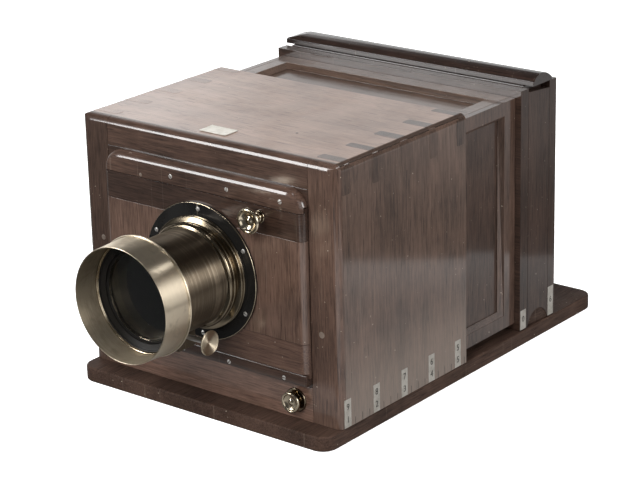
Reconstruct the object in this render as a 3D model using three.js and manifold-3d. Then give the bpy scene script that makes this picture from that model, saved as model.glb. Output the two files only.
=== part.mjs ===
// A nineteenth-century sliding-box plate camera in mahogany with a brass portrait lens.
// Frame: millimetres, +Z up, the lens looks along -Y, the origin is the middle of the
// baseboard's underside.
import * as THREE from 'three';
import { mergeVertices } from 'three/addons/utils/BufferGeometryUtils.js';
import Module from 'manifold-3d';

const wasm = await Module();
wasm.setup();

// ---------------------------------------------------------------- driving dimensions
const JOINT = 0.2;            // glue line between two fixed wooden or brass pieces
const RUN = 0.4;              // running clearance of a piece that slides
const PAST = 1;               // how far a cutter runs past what it cuts

// baseboard
const baseLength = 264;
const baseSide = 0;           // baseboard beyond the outer box at each side
const baseThick = 8.7;
const baseCorner = 9;         // radius of the corners in plan
const baseArris = 0.8;        // eased edges
const frontOverhang = 13.4;   // baseboard in front of the outer box

// outer box
const outerWidth = 178;
const outerDepth = 114.8;
const outerHeight = 146.2;
const outerWall = 4.2;

// front frame
const frameThick = 4.2;
const stileWidth = 18.8;
const topRailHeight = 15.3;
const bottomRailHeight = 20;
const frameRound = 3;         // rounded outer edges of the front frame
const boardSlotRadius = 28.4; // half height of the opening behind the lens board
const crossSlide = 12;        // how far the lens board slides to either side

// raised lens panel and the two bars it slides between
const raisedThick = 4.7;
const raisedRound = 4.2;
const upperBarHeight = 12.2;
const upperBarCorner = 11.5;
const upperBarAbove = 44.9;   // upper bar's lower edge above the lens axis
const lowerBarHeight = 6.6;
const lowerBarBelow = 44.7;   // lower bar's upper edge below the lens axis
const clampUpperHeight = 15.2;
const clampLowerHeight = 16.9;
const tongueThick = 2;
const tongueHeight = 2.6;

// lens
const lensAboveMiddle = 0.2;  // lens axis above the middle of the outer box
const flangeRadius = 38.7;
const flangeThick = 1.4;
const flangeArris = 0.5;
const sleeveRadius = 27;
const sleeveWall = 1.5;
const sleeveFront = 35;       // reach of the sleeve in front of the flange
const sleeveBack = 19;        // reach of the sleeve behind the flange's front
const collarRadius = 31.8;
const collarThick = 3.4;
const neckLength = 2.2;       // narrow neck between the collar and the bead
const neckDepth = 0.6;        // neck below the bead
const beadRadius = 29.3;
const beadThick = 3.6;
const mouldingRound = 0.5;    // eased edges of the sleeve's turned mouldings
const tubeWall = 1.6;
const tubeLength = 65.5;
const cellRadius = 31.2;
const cellDepth = 3.6;        // broad front part of the cell
const cellNeck = 9.6;         // narrow back part of the cell, round the tube
const cellRim = 1.4;
const cellMouth = 1.4;        // bevel inside the cell's front edge
const cellNeckWall = 0.6;     // neck of the cell beyond the sleeve's radius
const frontGlassRadius = 26;
const frontGlassEdge = 2.4;
const frontGlassBulge = 2.6;
const retainerThick = 0.9;
const retainerWidth = 1.5;
const rearCellLength = 7;
const rearCellWall = 2.4;
const rearCellLip = 1.4;      // shoulder that the rear glass lies on
const rearGlassEdge = 2.6;
const rearGlassBulge = 1.6;
const hoodWall = 0.6;
const hoodLength = 18.7;
const hoodFlare = 0.5;
const hoodBeadRadius = 33.4;
const hoodBeadThick = 2.2;
const hoodBeadRound = 0.7;
const hoodOverlap = 0.6;      // reach of the hood behind the cell's shoulder
const flangeScrews = 6;
const flangeScrewCircle = 35.4;
const flangeScrewRadius = 1.3;
const flangeScrewDome = 0.35;

// rack and pinion
const pinionTeeth = 10;
const pinionPitchRadius = 4;
const toothHeight = 0.9;
const toothPlay = 0.25;       // clearance between rack and pinion teeth
const toothTipShare = 0.4;    // a tooth's tip as a share of its root
const pinionWidth = 4;
const pinionFromFlange = 18.5; // pinion axis in front of the flange
const pitchInset = 0.6;       // pitch line inside the sleeve's surface
const rackWidth = 3.6;
const rackSink = 0.9;         // how deep the rack is let into the tube's wall
const focusTravel = 20;
const pinionBoxWidth = 9.6;
const pinionBoxWall = 1.6;
const saddleRise = 1.2;       // the box's cheeks above the sleeve's lowest line
const pinionShaftRadius = 1.5;
const pinionKnobRadius = 7;
const pinionKnobThick = 3.2;
const pinionKnobFace = 21.4;  // outer face of the knob from the lens axis
const knobArris = 0.8;
const knobDish = 1;

// thumbscrews
const boardScrewInset = 28.3; // from the raised panel's side
const boardScrewDrop = 5.9;   // below the upper bar's lower edge
const boardScrewReach = 10.6; // head's outer face in front of the lens board
const boardScrewRadius = 7.2;
const frontScrewInset = 11.2; // from the raised panel's side
const frontScrewShift = -0.1; // from halfway between the baseboard and the lower bar
const frontScrewReach = 6;
const frontScrewRadius = 6.7;
const screwHeadThick = 2.8;
const screwHeadDish = 1.2;
const screwHeadRound = 0.7;
const screwTip = 3;           // front screw's reach behind the rail
const screwStem = 2.6;
const screwShank = 1.7;
const washerThick = 1.2;
const washerEdge = 0.3;       // washer's radius beyond the screw head's
const washerArris = 0.5;

// inner box
const innerWall = 4;
const innerLength = 105;
const innerOut = 55.7;        // how far it is drawn out of the outer box
const innerRail = 10.6;
const innerRearRail = 13.5;
const innerFrontRail = 12;
const innerRecess = 3.4;      // panel's face below the frame's face
const innerChamfer = 2.6;     // moulded inner edge of the frames
const innerChamferDeep = 0.9;
const innerTopPlay = 0.5;     // extra room above the inner box
const innerPanelThick = 2.4;
const panelTuck = 3;          // how far a panel reaches into its groove

// rear frame
const rearInset = 1;          // rear frame's sides inside the outer box's
const rearFrontThick = 7.8;
const rearSlotDepth = 21.2;
const rearBackThick = 7;
const rearSideThick = 3.6;
const rearDrop = 1;           // rear frame's top below the outer box's top
const rearSideDrop = 2.2;     // side boards' top below the rear frame's top
const rearSideFall = 2;       // side boards' top edge falls towards the back
const rearFloorThick = 5;
const rearOpeningSide = 15;   // width of the margin round the light opening
const rearOpeningLow = 15;
const scoopRadius = 10.7;
const scoopDrop = 1.6;        // scoop's centre below the baseboard's top
const scoopDepth = 2;

// focusing screen in the rear frame
const screenThick = 18;
const screenMargin = 18;
const screenLip = 2.5;
const glassThick = 2;
const glassPlay = 0.3;
const capHang = 1.6;          // cap's reach beyond the rear frame at each side
const capDepth = 19.2;
const capHeight = 6.3;
const capLip = 2.8;
const capTaper = 13.5;        // sloping left end of the cap
const capGap = 0.7;
const capSetback = 2;         // cap's front edge behind the slot's front
const capBackEdge = 1.8;      // height of the cap's square rear edge
const capCrest = 9;           // end of the cap's flat crest, from its front edge
const capSlopeStart = 1;      // where the front slope starts, behind the lip
const capSlopeTop = 3;

// plain label on the outer box's top
const labelWidth = 18;
const labelLength = 10.5;
const labelThick = 0.4;
const labelX = -2;
const labelBack = 14.8;       // its middle behind the outer box's front

// ---------------------------------------------------------------- derived places
const frontY = -baseLength / 2 + frontOverhang;       // front face of the outer box
const floorZ = baseThick + JOINT;                     // what stands on the baseboard
const outerTop = baseThick + outerHeight;
const outerHalf = outerWidth / 2;
const panelFrontY = frontY + frameThick + JOINT;
const outerBackY = frontY + outerDepth;
const openHalf = outerHalf - stileWidth;              // half width between the stiles
const topRailLow = outerTop - topRailHeight;
const bottomRailTop = baseThick + bottomRailHeight;
const lensZ = baseThick + outerHeight / 2 + lensAboveMiddle;
const raisedBackY = frontY - RUN;
const raisedFaceY = raisedBackY - raisedThick;
const raisedHalf = openHalf - JOINT;
const upperBarLow = lensZ + upperBarAbove;
const lowerBarTop = lensZ - lowerBarBelow;
const lowerBarLow = lowerBarTop - lowerBarHeight;
const boardScrewX = raisedHalf - boardScrewInset;
const boardScrewZ = upperBarLow - boardScrewDrop;
const frontScrewX = raisedHalf - frontScrewInset;
const frontScrewZ = (baseThick + lowerBarLow) / 2 + frontScrewShift;
const boardLow = lowerBarTop + clampLowerHeight + JOINT;
const boardHigh = upperBarLow - clampUpperHeight - JOINT;
const flangeBackY = raisedFaceY - JOINT;
const flangeFaceY = flangeBackY - flangeThick;
const sleeveBore = sleeveRadius - sleeveWall;
const sleeveFrontY = flangeFaceY - sleeveFront;
const sleeveBackY = flangeFaceY + sleeveBack;
const tubeRadius = sleeveBore - RUN;
const tubeBore = tubeRadius - tubeWall;
const cellBackY = sleeveFrontY - RUN - JOINT;
const cellShoulderY = cellBackY - cellNeck;
const cellFaceY = cellShoulderY - cellDepth;
const cellSeatY = cellBackY - cellNeck / 2;           // the tube's end inside the cell
const tubeBackY = cellSeatY + JOINT + tubeLength;
const glassBackY = cellSeatY - JOINT - cellRim;
const glassEdgeY = glassBackY - frontGlassEdge;
const pinionY = flangeFaceY - pinionFromFlange;
const pitchZ = lensZ - sleeveRadius + pitchInset;
const pinionZ = pitchZ - pinionPitchRadius;
const toothPitch = 2 * Math.PI * pinionPitchRadius / pinionTeeth;
const rackTeeth = Math.ceil(focusTravel / toothPitch) + 3;
const rackFrontY = pinionY - 2 * toothPitch;          // a gap of the rack faces the pinion's top tooth
const rackBackY = rackFrontY + rackTeeth * toothPitch;
const rackTopZ = lensZ - tubeRadius + rackSink;
const innerHalf = outerHalf - outerWall - RUN - JOINT / 2;
const innerLow = baseThick + JOINT + outerWall + RUN;
const innerHigh = outerTop - outerWall - RUN - JOINT / 2 - innerTopPlay;
const rearFrontY = outerBackY + innerOut;             // front face of the rear frame
const innerFrontY = rearFrontY - innerLength;
const rearHalf = outerHalf - rearInset;
const rearLow = baseThick + RUN;
const slotFrontY = rearFrontY + rearFrontThick + JOINT;
const slotBackY = slotFrontY + rearSlotDepth;
const rearBackY = slotBackY + JOINT + rearBackThick;
const rearTop = outerTop - rearDrop;
const rearSideTop = rearTop - rearSideDrop;

// ---------------------------------------------------------------- materials
const look = (color, roughness, metalness = 0) =>
  new THREE.MeshStandardMaterial({ color, roughness, metalness });
const mahogany = look(0x4a2416, 0.35);
const darkMahogany = look(0x331810, 0.32);
const paleMahogany = look(0x6b3a22, 0.4);
const brass = look(0xb08a45, 0.25, 1);
const lacquer = look(0x1c1814, 0.3, 0.4);
const steel = look(0x8d8d8a, 0.3, 1);
const glass = look(0xcfdadd, 0.05);
const frosted = look(0xdfe3e2, 0.7);
const paper = look(0xe9e4d6, 0.8);

const camera = new THREE.Group();

function add(name, geometry, material, parent = camera) {
  const mesh = new THREE.Mesh(geometry, material);
  mesh.name = name;
  parent.add(mesh);
  return mesh;
}

// ---------------------------------------------------------------- shape helpers
// a block between two corners
function block(x, y, z) {
  const geometry = new THREE.BoxGeometry(x[1] - x[0], y[1] - y[0], z[1] - z[0]);
  return geometry.translate((x[0] + x[1]) / 2, (y[0] + y[1]) / 2, (z[0] + z[1]) / 2);
}

// a prism from an outline: 'x', 'y' or 'z' is the direction it is drawn out along.
// outline axes are (y,z) for x, (x,z) for y and (x,y) for z
function prism(shape, axis, from, to, bevel = 0) {
  const options = { depth: to - from - 2 * bevel, curveSegments: 6, bevelEnabled: bevel > 0,
    bevelThickness: bevel, bevelSize: bevel, bevelOffset: -bevel, bevelSegments: 2 };
  const geometry = new THREE.ExtrudeGeometry(shape, options);
  geometry.translate(0, 0, from + bevel);
  if (axis === 'y') {
    geometry.rotateX(Math.PI / 2);
    geometry.scale(1, -1, 1);
    flip(geometry);
  }
  if (axis === 'x') {
    geometry.rotateX(Math.PI / 2);
    geometry.rotateZ(Math.PI / 2);
  }
  return geometry;
}

// turns the faces of a mirrored geometry outward again
function flip(geometry) {
  if (geometry.index) {
    geometry.setIndex([...geometry.index.array].reverse());
    return;
  }
  for (const attribute of Object.values(geometry.attributes)) {
    const { array, itemSize } = attribute;
    for (let i = 0; i < array.length; i += 3 * itemSize) {
      const first = array.slice(i, i + itemSize);
      array.copyWithin(i, i + 2 * itemSize, i + 3 * itemSize);
      array.set(first, i + 2 * itemSize);
    }
  }
}

function outline(points) {
  return new THREE.Shape(points.map(([a, b]) => new THREE.Vector2(a, b)));
}

// rectangle in plan whose four corners have their own radii
function roundedOutline(a0, a1, b0, b1, low, high = low) {
  const shape = new THREE.Shape();
  shape.moveTo(a0 + low, b0);
  shape.lineTo(a1 - low, b0);
  if (low > 0) shape.absarc(a1 - low, b0 + low, low, -Math.PI / 2, 0);
  shape.lineTo(a1, b1 - high);
  if (high > 0) shape.absarc(a1 - high, b1 - high, high, 0, Math.PI / 2);
  shape.lineTo(a0 + high, b1);
  if (high > 0) shape.absarc(a0 + high, b1 - high, high, Math.PI / 2, Math.PI);
  shape.lineTo(a0, b0 + low);
  if (low > 0) shape.absarc(a0 + low, b0 + low, low, Math.PI, 1.5 * Math.PI);
  return shape;
}

// a body turned about the Y axis; the profile's points are (radius, y)
function turned(points, segments = 40) {
  const closed = points.concat([points[0]]).map(([r, y]) => new THREE.Vector2(r, y));
  const area = closed.slice(1).reduce((sum, p, i) => sum + closed[i].x * p.y - p.x * closed[i].y, 0);
  if (area < 0) closed.reverse();
  return new THREE.LatheGeometry(closed, segments);
}

function rod(radius, from, to, segments = 24) {
  return turned([[0, from], [radius, from], [radius, to], [0, to]], segments);
}

// ---------------------------------------------------------------- booleans
function toSolid(geometry) {
  const bare = geometry.clone();
  bare.deleteAttribute('normal');
  bare.deleteAttribute('uv');
  const merged = mergeVertices(bare, 1e-4);
  const triangles = [];
  const { array } = merged.index;
  for (let i = 0; i < array.length; i += 3) {
    const [a, b, c] = [array[i], array[i + 1], array[i + 2]];
    if (a !== b && b !== c && c !== a) triangles.push(a, b, c);
  }
  const mesh = new wasm.Mesh({ numProp: 3, vertProperties: merged.attributes.position.array,
    triVerts: new Uint32Array(triangles) });
  return new wasm.Manifold(mesh);
}

function toGeometry(solid) {
  const { vertProperties, triVerts } = solid.getMesh();
  const geometry = new THREE.BufferGeometry();
  geometry.setAttribute('position', new THREE.BufferAttribute(vertProperties, 3));
  geometry.setIndex(new THREE.BufferAttribute(triVerts, 1));
  return geometry;
}

function cut(geometry, ...cutters) {
  return toGeometry(cutters.reduce((solid, cutter) => solid.subtract(toSolid(cutter)), toSolid(geometry)));
}

function join(geometry, ...others) {
  return toGeometry(others.reduce((solid, other) => solid.add(toSolid(other)), toSolid(geometry)));
}

// moves a turned geometry so that it turns about (x, z)
const at = (geometry, x, z) => geometry.translate(x, 0, z);
const atLens = geometry => at(geometry, 0, lensZ);

// ---------------------------------------------------------------- baseboard
function makeBaseboard() {
  const half = outerHalf + baseSide;
  const plan = roundedOutline(-half, half, -baseLength / 2, baseLength / 2, baseCorner);
  add('baseboard', prism(plan, 'z', 0, baseThick, baseArris), darkMahogany);
}

// ---------------------------------------------------------------- outer box
function makeOuterBox() {
  const inside = outerHalf - outerWall;
  const underTop = outerTop - outerWall;
  const top = outline([[-outerHalf + JOINT, outerTop], [-inside + JOINT, underTop],
    [inside - JOINT, underTop], [outerHalf - JOINT, outerTop]]);
  add('outer_top', prism(top, 'y', panelFrontY, outerBackY), paleMahogany);
  for (const [name, side] of [['left', -1], ['right', 1]]) {
    const board = outline([[side * outerHalf, floorZ], [side * outerHalf, outerTop - JOINT],
      [side * inside, underTop - JOINT], [side * inside, floorZ]]);
    add(`outer_side_${name}`, prism(board, 'y', panelFrontY, outerBackY), mahogany);
  }
  add('outer_floor', block([-inside + JOINT, inside - JOINT], [panelFrontY, outerBackY],
    [floorZ, floorZ + outerWall]), mahogany);
}

// ---------------------------------------------------------------- front frame
function makeFrontFrame() {
  const backY = frontY + frameThick;
  for (const [name, side] of [['left', -1], ['right', 1]]) {
    const arc = new THREE.Shape();
    arc.moveTo(side * openHalf, frontY);
    arc.lineTo(side * (outerHalf - frameRound), frontY);
    arc.absarc(side * (outerHalf - frameRound), frontY + frameRound, frameRound, -Math.PI / 2,
      side > 0 ? 0 : -Math.PI, side < 0);
    arc.lineTo(side * outerHalf, backY);
    arc.lineTo(side * openHalf, backY);
    add(`front_stile_${name}`, prism(arc, 'z', floorZ, outerTop), darkMahogany);
  }
  const rail = new THREE.Shape();
  rail.moveTo(frontY, topRailLow);
  rail.lineTo(backY, topRailLow);
  rail.lineTo(backY, outerTop);
  rail.lineTo(frontY + frameRound, outerTop);
  rail.absarc(frontY + frameRound, outerTop - frameRound, frameRound, Math.PI / 2, Math.PI);
  add('front_top_rail', prism(rail, 'x', -openHalf + JOINT, openHalf - JOINT), darkMahogany);

  const bottomRail = block([-openHalf + JOINT, openHalf - JOINT], [frontY, backY], [floorZ, bottomRailTop]);
  const screwHole = at(rod(screwShank + JOINT, frontY - PAST, backY + PAST), frontScrewX, frontScrewZ);
  add('front_bottom_rail', cut(bottomRail, screwHole), paleMahogany);

  const board = roundedOutline(-openHalf + JOINT, openHalf - JOINT,
    bottomRailTop + JOINT, topRailLow - JOINT, 0);
  const slot = new THREE.Path();
  slot.absarc(crossSlide, lensZ, boardSlotRadius, -Math.PI / 2, Math.PI / 2);
  slot.absarc(-crossSlide, lensZ, boardSlotRadius, Math.PI / 2, 1.5 * Math.PI);
  board.holes.push(slot);
  add('front_board', prism(board, 'y', frontY, backY), mahogany);
}

// ---------------------------------------------------------------- raised bars and lens board
// cross-section of a raised piece seen from above, rounded at its two front corners
function raisedPlan() {
  const shape = new THREE.Shape();
  shape.moveTo(-raisedHalf, raisedBackY);
  shape.lineTo(-raisedHalf, raisedFaceY + raisedRound);
  shape.absarc(-raisedHalf + raisedRound, raisedFaceY + raisedRound, raisedRound, Math.PI, 1.5 * Math.PI);
  shape.lineTo(raisedHalf - raisedRound, raisedFaceY);
  shape.absarc(raisedHalf - raisedRound, raisedFaceY + raisedRound, raisedRound, -Math.PI / 2, 0);
  shape.lineTo(raisedHalf, raisedBackY);
  return shape;
}

function makeRaisedBars() {
  const fixedBackY = frontY - JOINT;
  const rebateY = raisedBackY - tongueThick - RUN;
  const rebate = (low, high) => block([-outerHalf, outerHalf], [rebateY, frontY + PAST], [low, high]);
  const upperShape = roundedOutline(-raisedHalf, raisedHalf, upperBarLow + JOINT,
    upperBarLow + upperBarHeight, 0, upperBarCorner);
  const upper = prism(upperShape, 'y', raisedFaceY, fixedBackY);
  add('upper_bar', cut(upper, rebate(upperBarLow - PAST, upperBarLow + tongueHeight + RUN)), darkMahogany);
  const lower = block([-raisedHalf, raisedHalf], [raisedFaceY, fixedBackY],
    [lowerBarLow, lowerBarTop - JOINT]);
  add('lower_bar', cut(lower, rebate(lowerBarTop - tongueHeight - RUN, lowerBarTop + PAST)), darkMahogany);
}

function makeLensBoard() {
  const hole = atLens(rod(sleeveRadius + JOINT, raisedFaceY - PAST, raisedBackY + PAST, 40));
  add('lens_board', cut(prism(raisedPlan(), 'z', boardLow, boardHigh), hole), paleMahogany);

  const tongue = (low, high) =>
    block([-raisedHalf, raisedHalf], [raisedBackY - tongueThick, raisedBackY], [low, high]);
  const upperLow = boardHigh + JOINT;
  const upperHigh = upperBarLow - JOINT;
  const screwHole = at(rod(screwShank + JOINT, raisedFaceY - PAST, raisedBackY + PAST),
    boardScrewX, boardScrewZ);
  const upper = join(prism(raisedPlan(), 'z', upperLow, upperHigh),
    tongue(upperHigh - PAST, upperBarLow + tongueHeight));
  add('board_clamp_upper', cut(upper, screwHole), darkMahogany);
  const lowerHigh = boardLow - JOINT;
  const lowerLow = lowerBarTop + JOINT;
  const lower = join(prism(raisedPlan(), 'z', lowerLow, lowerHigh),
    tongue(lowerBarTop - tongueHeight, lowerLow + PAST));
  add('board_clamp_lower', lower, darkMahogany);
}

// ---------------------------------------------------------------- lens mount
function makeFlange() {
  const flange = atLens(turned([[sleeveRadius + JOINT, flangeFaceY], [flangeRadius - flangeArris, flangeFaceY],
    [flangeRadius, flangeFaceY + flangeArris], [flangeRadius, flangeBackY],
    [sleeveRadius + JOINT, flangeBackY]], 40));
  const holes = [];
  for (let i = 0; i < flangeScrews; i++) {
    const angle = Math.PI / 2 + i * 2 * Math.PI / flangeScrews;
    const x = flangeScrewCircle * Math.cos(angle);
    const z = lensZ + flangeScrewCircle * Math.sin(angle);
    holes.push(at(rod(flangeScrewRadius + JOINT, flangeFaceY - PAST, flangeBackY + PAST, 12), x, z));
    const screw = turned([[0, flangeFaceY - flangeScrewDome], [flangeScrewRadius, flangeFaceY],
      [flangeScrewRadius, flangeBackY], [0, flangeBackY]], 12);
    add(`flange_screw_${i + 1}`, at(screw, x, z), steel);
  }
  add('lens_flange', cut(flange, ...holes), lacquer);
}

function makeSleeve() {
  const collarY = flangeFaceY - JOINT;
  const collarFrontY = collarY - collarThick;
  const beadY = collarFrontY - neckLength;
  const beadFrontY = beadY - beadThick;
  const neckRadius = beadRadius - neckDepth;
  const profile = [[sleeveBore, sleeveBackY], [sleeveRadius, sleeveBackY], [sleeveRadius, collarY],
    [collarRadius, collarY], [collarRadius, collarFrontY], [neckRadius, collarFrontY - mouldingRound],
    [neckRadius, beadY], [beadRadius, beadY - mouldingRound], [beadRadius, beadFrontY + mouldingRound],
    [sleeveRadius, beadFrontY], [sleeveRadius, sleeveFrontY + mouldingRound],
    [sleeveRadius - mouldingRound, sleeveFrontY], [sleeveBore, sleeveFrontY]];
  const slotHalf = rackWidth / 2 + RUN;
  const rackSlot = block([-slotHalf, slotHalf], [sleeveFrontY - PAST, rackBackY + RUN],
    [lensZ - sleeveRadius - PAST, lensZ - sleeveBore + PAST]);
  add('lens_sleeve', cut(atLens(turned(profile, 48)), rackSlot), brass);
}

// housing under the sleeve: two cheeks and a bottom that hold the pinion's shaft
function makePinionBox() {
  const half = pinionBoxWidth / 2;
  const reach = pinionPitchRadius + toothHeight + RUN + pinionBoxWall;
  const top = lensZ - sleeveRadius + saddleRise;
  const low = pinionZ - reach;
  const wide = pinionWidth / 2 + RUN;
  const body = block([-half, half], [pinionY - reach, pinionY + reach], [low, top]);
  const inside = block([-wide, wide], [pinionY - reach + pinionBoxWall, pinionY + reach - pinionBoxWall],
    [low + pinionBoxWall, top + PAST]);
  const saddle = atLens(rod(sleeveRadius + JOINT, pinionY - reach - PAST, pinionY + reach + PAST, 96));
  const bore = rod(pinionShaftRadius + JOINT, -half - PAST, half + PAST, 20);
  bore.rotateZ(-Math.PI / 2).translate(0, pinionY, pinionZ);
  add('pinion_box', cut(body, inside, saddle, bore), brass);
}

// ---------------------------------------------------------------- rack and pinion
// outline of one row of teeth between a root and a tip; width shares leave the play
function pinionOutline() {
  const root = pinionPitchRadius - toothHeight;
  const tip = pinionPitchRadius + toothHeight / 2;
  const step = 2 * Math.PI / pinionTeeth;
  const rootHalf = step / 4 - toothPlay / pinionPitchRadius / 2;
  const tipHalf = rootHalf * toothTipShare;
  const points = [];
  for (let i = 0; i < pinionTeeth; i++) {
    const middle = Math.PI / 2 + i * step;
    for (const [radius, angle] of [[root, middle - rootHalf], [tip, middle - tipHalf],
      [tip, middle + tipHalf], [root, middle + rootHalf]]) {
      points.push([radius * Math.cos(angle), radius * Math.sin(angle)]);
    }
  }
  return outline(points.map(([a, b]) => [a + pinionY, b + pinionZ]));
}

function makePinion() {
  const wide = pinionWidth / 2;
  const shaftEnd = pinionKnobFace - pinionKnobThick - JOINT;
  const gear = prism(pinionOutline(), 'x', -wide, wide);
  const shaft = rod(pinionShaftRadius, -pinionBoxWidth / 2, shaftEnd, 20);
  shaft.rotateZ(-Math.PI / 2).translate(0, pinionY, pinionZ);
  add('focus_pinion', join(gear, shaft), steel);
  const face = pinionKnobFace;
  const back = face - pinionKnobThick;
  const knob = turned([[0, back], [pinionKnobRadius - knobArris, back], [pinionKnobRadius, back + knobArris],
    [pinionKnobRadius, face - knobArris], [pinionKnobRadius - knobArris, face], [knobDish, face - knobDish],
    [0, face - knobDish]], 24);
  knob.rotateZ(-Math.PI / 2).translate(0, pinionY, pinionZ);
  add('focus_knob', knob, brass);
}

function makeRack() {
  const tipZ = pitchZ - toothHeight / 2;
  const rootZ = pitchZ + toothHeight;
  const rootHalf = toothPitch / 4 - toothPlay / 2;
  const tipHalf = rootHalf * toothTipShare;
  const points = [[rackFrontY, rackTopZ], [rackFrontY, rootZ]];
  for (let i = 0; i < rackTeeth; i++) {
    const middle = rackFrontY + (i + 0.5) * toothPitch;
    points.push([middle - rootHalf, rootZ], [middle - tipHalf, tipZ], [middle + tipHalf, tipZ],
      [middle + rootHalf, rootZ]);
  }
  points.push([rackBackY, rootZ], [rackBackY, rackTopZ]);
  add('focus_rack', prism(outline(points), 'x', -rackWidth / 2, rackWidth / 2), brass);
}

// ---------------------------------------------------------------- moving lens tube
function makeTube() {
  const tube = atLens(turned([[tubeBore, cellSeatY + JOINT], [tubeRadius, cellSeatY + JOINT],
    [tubeRadius, tubeBackY], [tubeBore, tubeBackY]], 40));
  const seatHalf = rackWidth / 2 + JOINT;
  const rackSeat = block([-seatHalf, seatHalf], [rackFrontY - JOINT, rackBackY + JOINT],
    [lensZ - tubeRadius - PAST, rackTopZ + JOINT]);
  add('lens_tube', cut(tube, rackSeat), brass);

  const seat = frontGlassRadius + JOINT;
  const mouth = glassEdgeY - JOINT - retainerThick;
  const cellBore = tubeRadius + JOINT;
  const neckRadius = sleeveRadius + cellNeckWall;
  const cellMouthRadius = cellRadius - cellRim;
  const cell = turned([[cellRadius, cellFaceY], [cellRadius, cellShoulderY], [neckRadius, cellShoulderY],
    [neckRadius, cellBackY], [cellBore, cellBackY], [cellBore, cellSeatY], [tubeBore, cellSeatY],
    [tubeBore, glassBackY + JOINT], [seat, glassBackY + JOINT], [seat, mouth],
    [cellMouthRadius - cellMouth, cellFaceY + cellMouth], [cellMouthRadius, cellFaceY]], 40);
  add('front_cell', atLens(cell), brass);

  const crown = (radius, share, bulge) => bulge * (1 - (share / radius) ** 2);
  const frontCurve = [];
  for (let i = 0; i <= 6; i++) {
    const radius = frontGlassRadius * i / 6;
    frontCurve.push([radius, glassEdgeY - crown(frontGlassRadius, radius, frontGlassBulge)]);
  }
  const frontGlass = turned([[0, glassBackY], ...frontCurve, [frontGlassRadius, glassBackY]], 40);
  add('front_glass', atLens(frontGlass), glass);
  // springy ring that holds the glass; it clears the glass's crown at its inner edge
  const ringOuter = seat - JOINT;
  const ringInner = ringOuter - retainerWidth;
  const ringBackY = glassEdgeY - crown(frontGlassRadius, ringInner, frontGlassBulge) - JOINT;
  const ring = turned([[ringInner, ringBackY], [ringInner, ringBackY - retainerThick / 2],
    [ringOuter, ringBackY - retainerThick], [ringOuter, ringBackY]], 40);
  add('glass_retainer', atLens(ring), brass);

  const rearStart = tubeBackY + JOINT;
  const rearEnd = rearStart + rearCellLength;
  const rearSeat = tubeRadius - rearCellWall;
  const rearGlassY = rearStart + rearCellLip;
  const rearCell = turned([[rearSeat - rearCellLip, rearStart], [tubeRadius, rearStart], [tubeRadius, rearEnd],
    [rearSeat, rearEnd], [rearSeat, rearGlassY], [rearSeat - rearCellLip, rearGlassY]], 40);
  add('rear_cell', atLens(rearCell), brass);
  const rearRadius = rearSeat - JOINT;
  const rearFaceY = rearGlassY + JOINT;
  const rearCurve = [];
  for (let i = 6; i >= 0; i--) {
    const radius = rearRadius * i / 6;
    rearCurve.push([radius, rearFaceY + rearGlassEdge + crown(rearRadius, radius, rearGlassBulge)]);
  }
  add('rear_glass', atLens(turned([[0, rearFaceY], [rearRadius, rearFaceY], ...rearCurve], 40)), glass);
}

// ---------------------------------------------------------------- hood
function makeHood() {
  const bore = cellRadius + JOINT;
  const backY = cellShoulderY + hoodOverlap;
  const mouthY = backY - hoodLength;
  const beadY = backY - hoodBeadThick;
  const hood = turned([[bore, mouthY], [bore + hoodWall, mouthY], [bore + hoodWall + hoodFlare, beadY],
    [hoodBeadRadius, beadY + hoodBeadRound], [hoodBeadRadius, backY - hoodBeadRound],
    [hoodBeadRadius - hoodBeadRound, backY], [bore, backY]], 40);
  add('lens_hood', atLens(hood), brass);
}

// ---------------------------------------------------------------- thumbscrews
// a dished head on a stem, with its shank through a fixed washer into the wood behind
function makeThumbscrew(name, x, z, seatY, reach, radius, tipY) {
  const face = seatY - reach;
  const washerFace = seatY - washerThick;
  const stemEnd = washerFace - JOINT;
  const back = face + screwHeadThick;
  const head = turned([[0, face + screwHeadDish], [radius / 3, face + screwHeadDish],
    [radius - 2 * screwHeadRound, face], [radius - screwHeadRound, face], [radius, face + screwHeadRound],
    [radius, back - screwHeadRound], [radius - screwHeadRound, back], [screwStem, back], [screwStem, stemEnd],
    [screwShank, stemEnd], [screwShank, tipY], [0, tipY]], 24);
  add(name, at(head, x, z), brass);
  const washer = turned([[screwShank + JOINT, washerFace], [radius + washerEdge - washerArris, washerFace],
    [radius + washerEdge, washerFace + washerArris], [radius + washerEdge, seatY - JOINT],
    [screwShank + JOINT, seatY - JOINT]], 24);
  add(`${name}_washer`, at(washer, x, z), brass);
}

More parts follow.
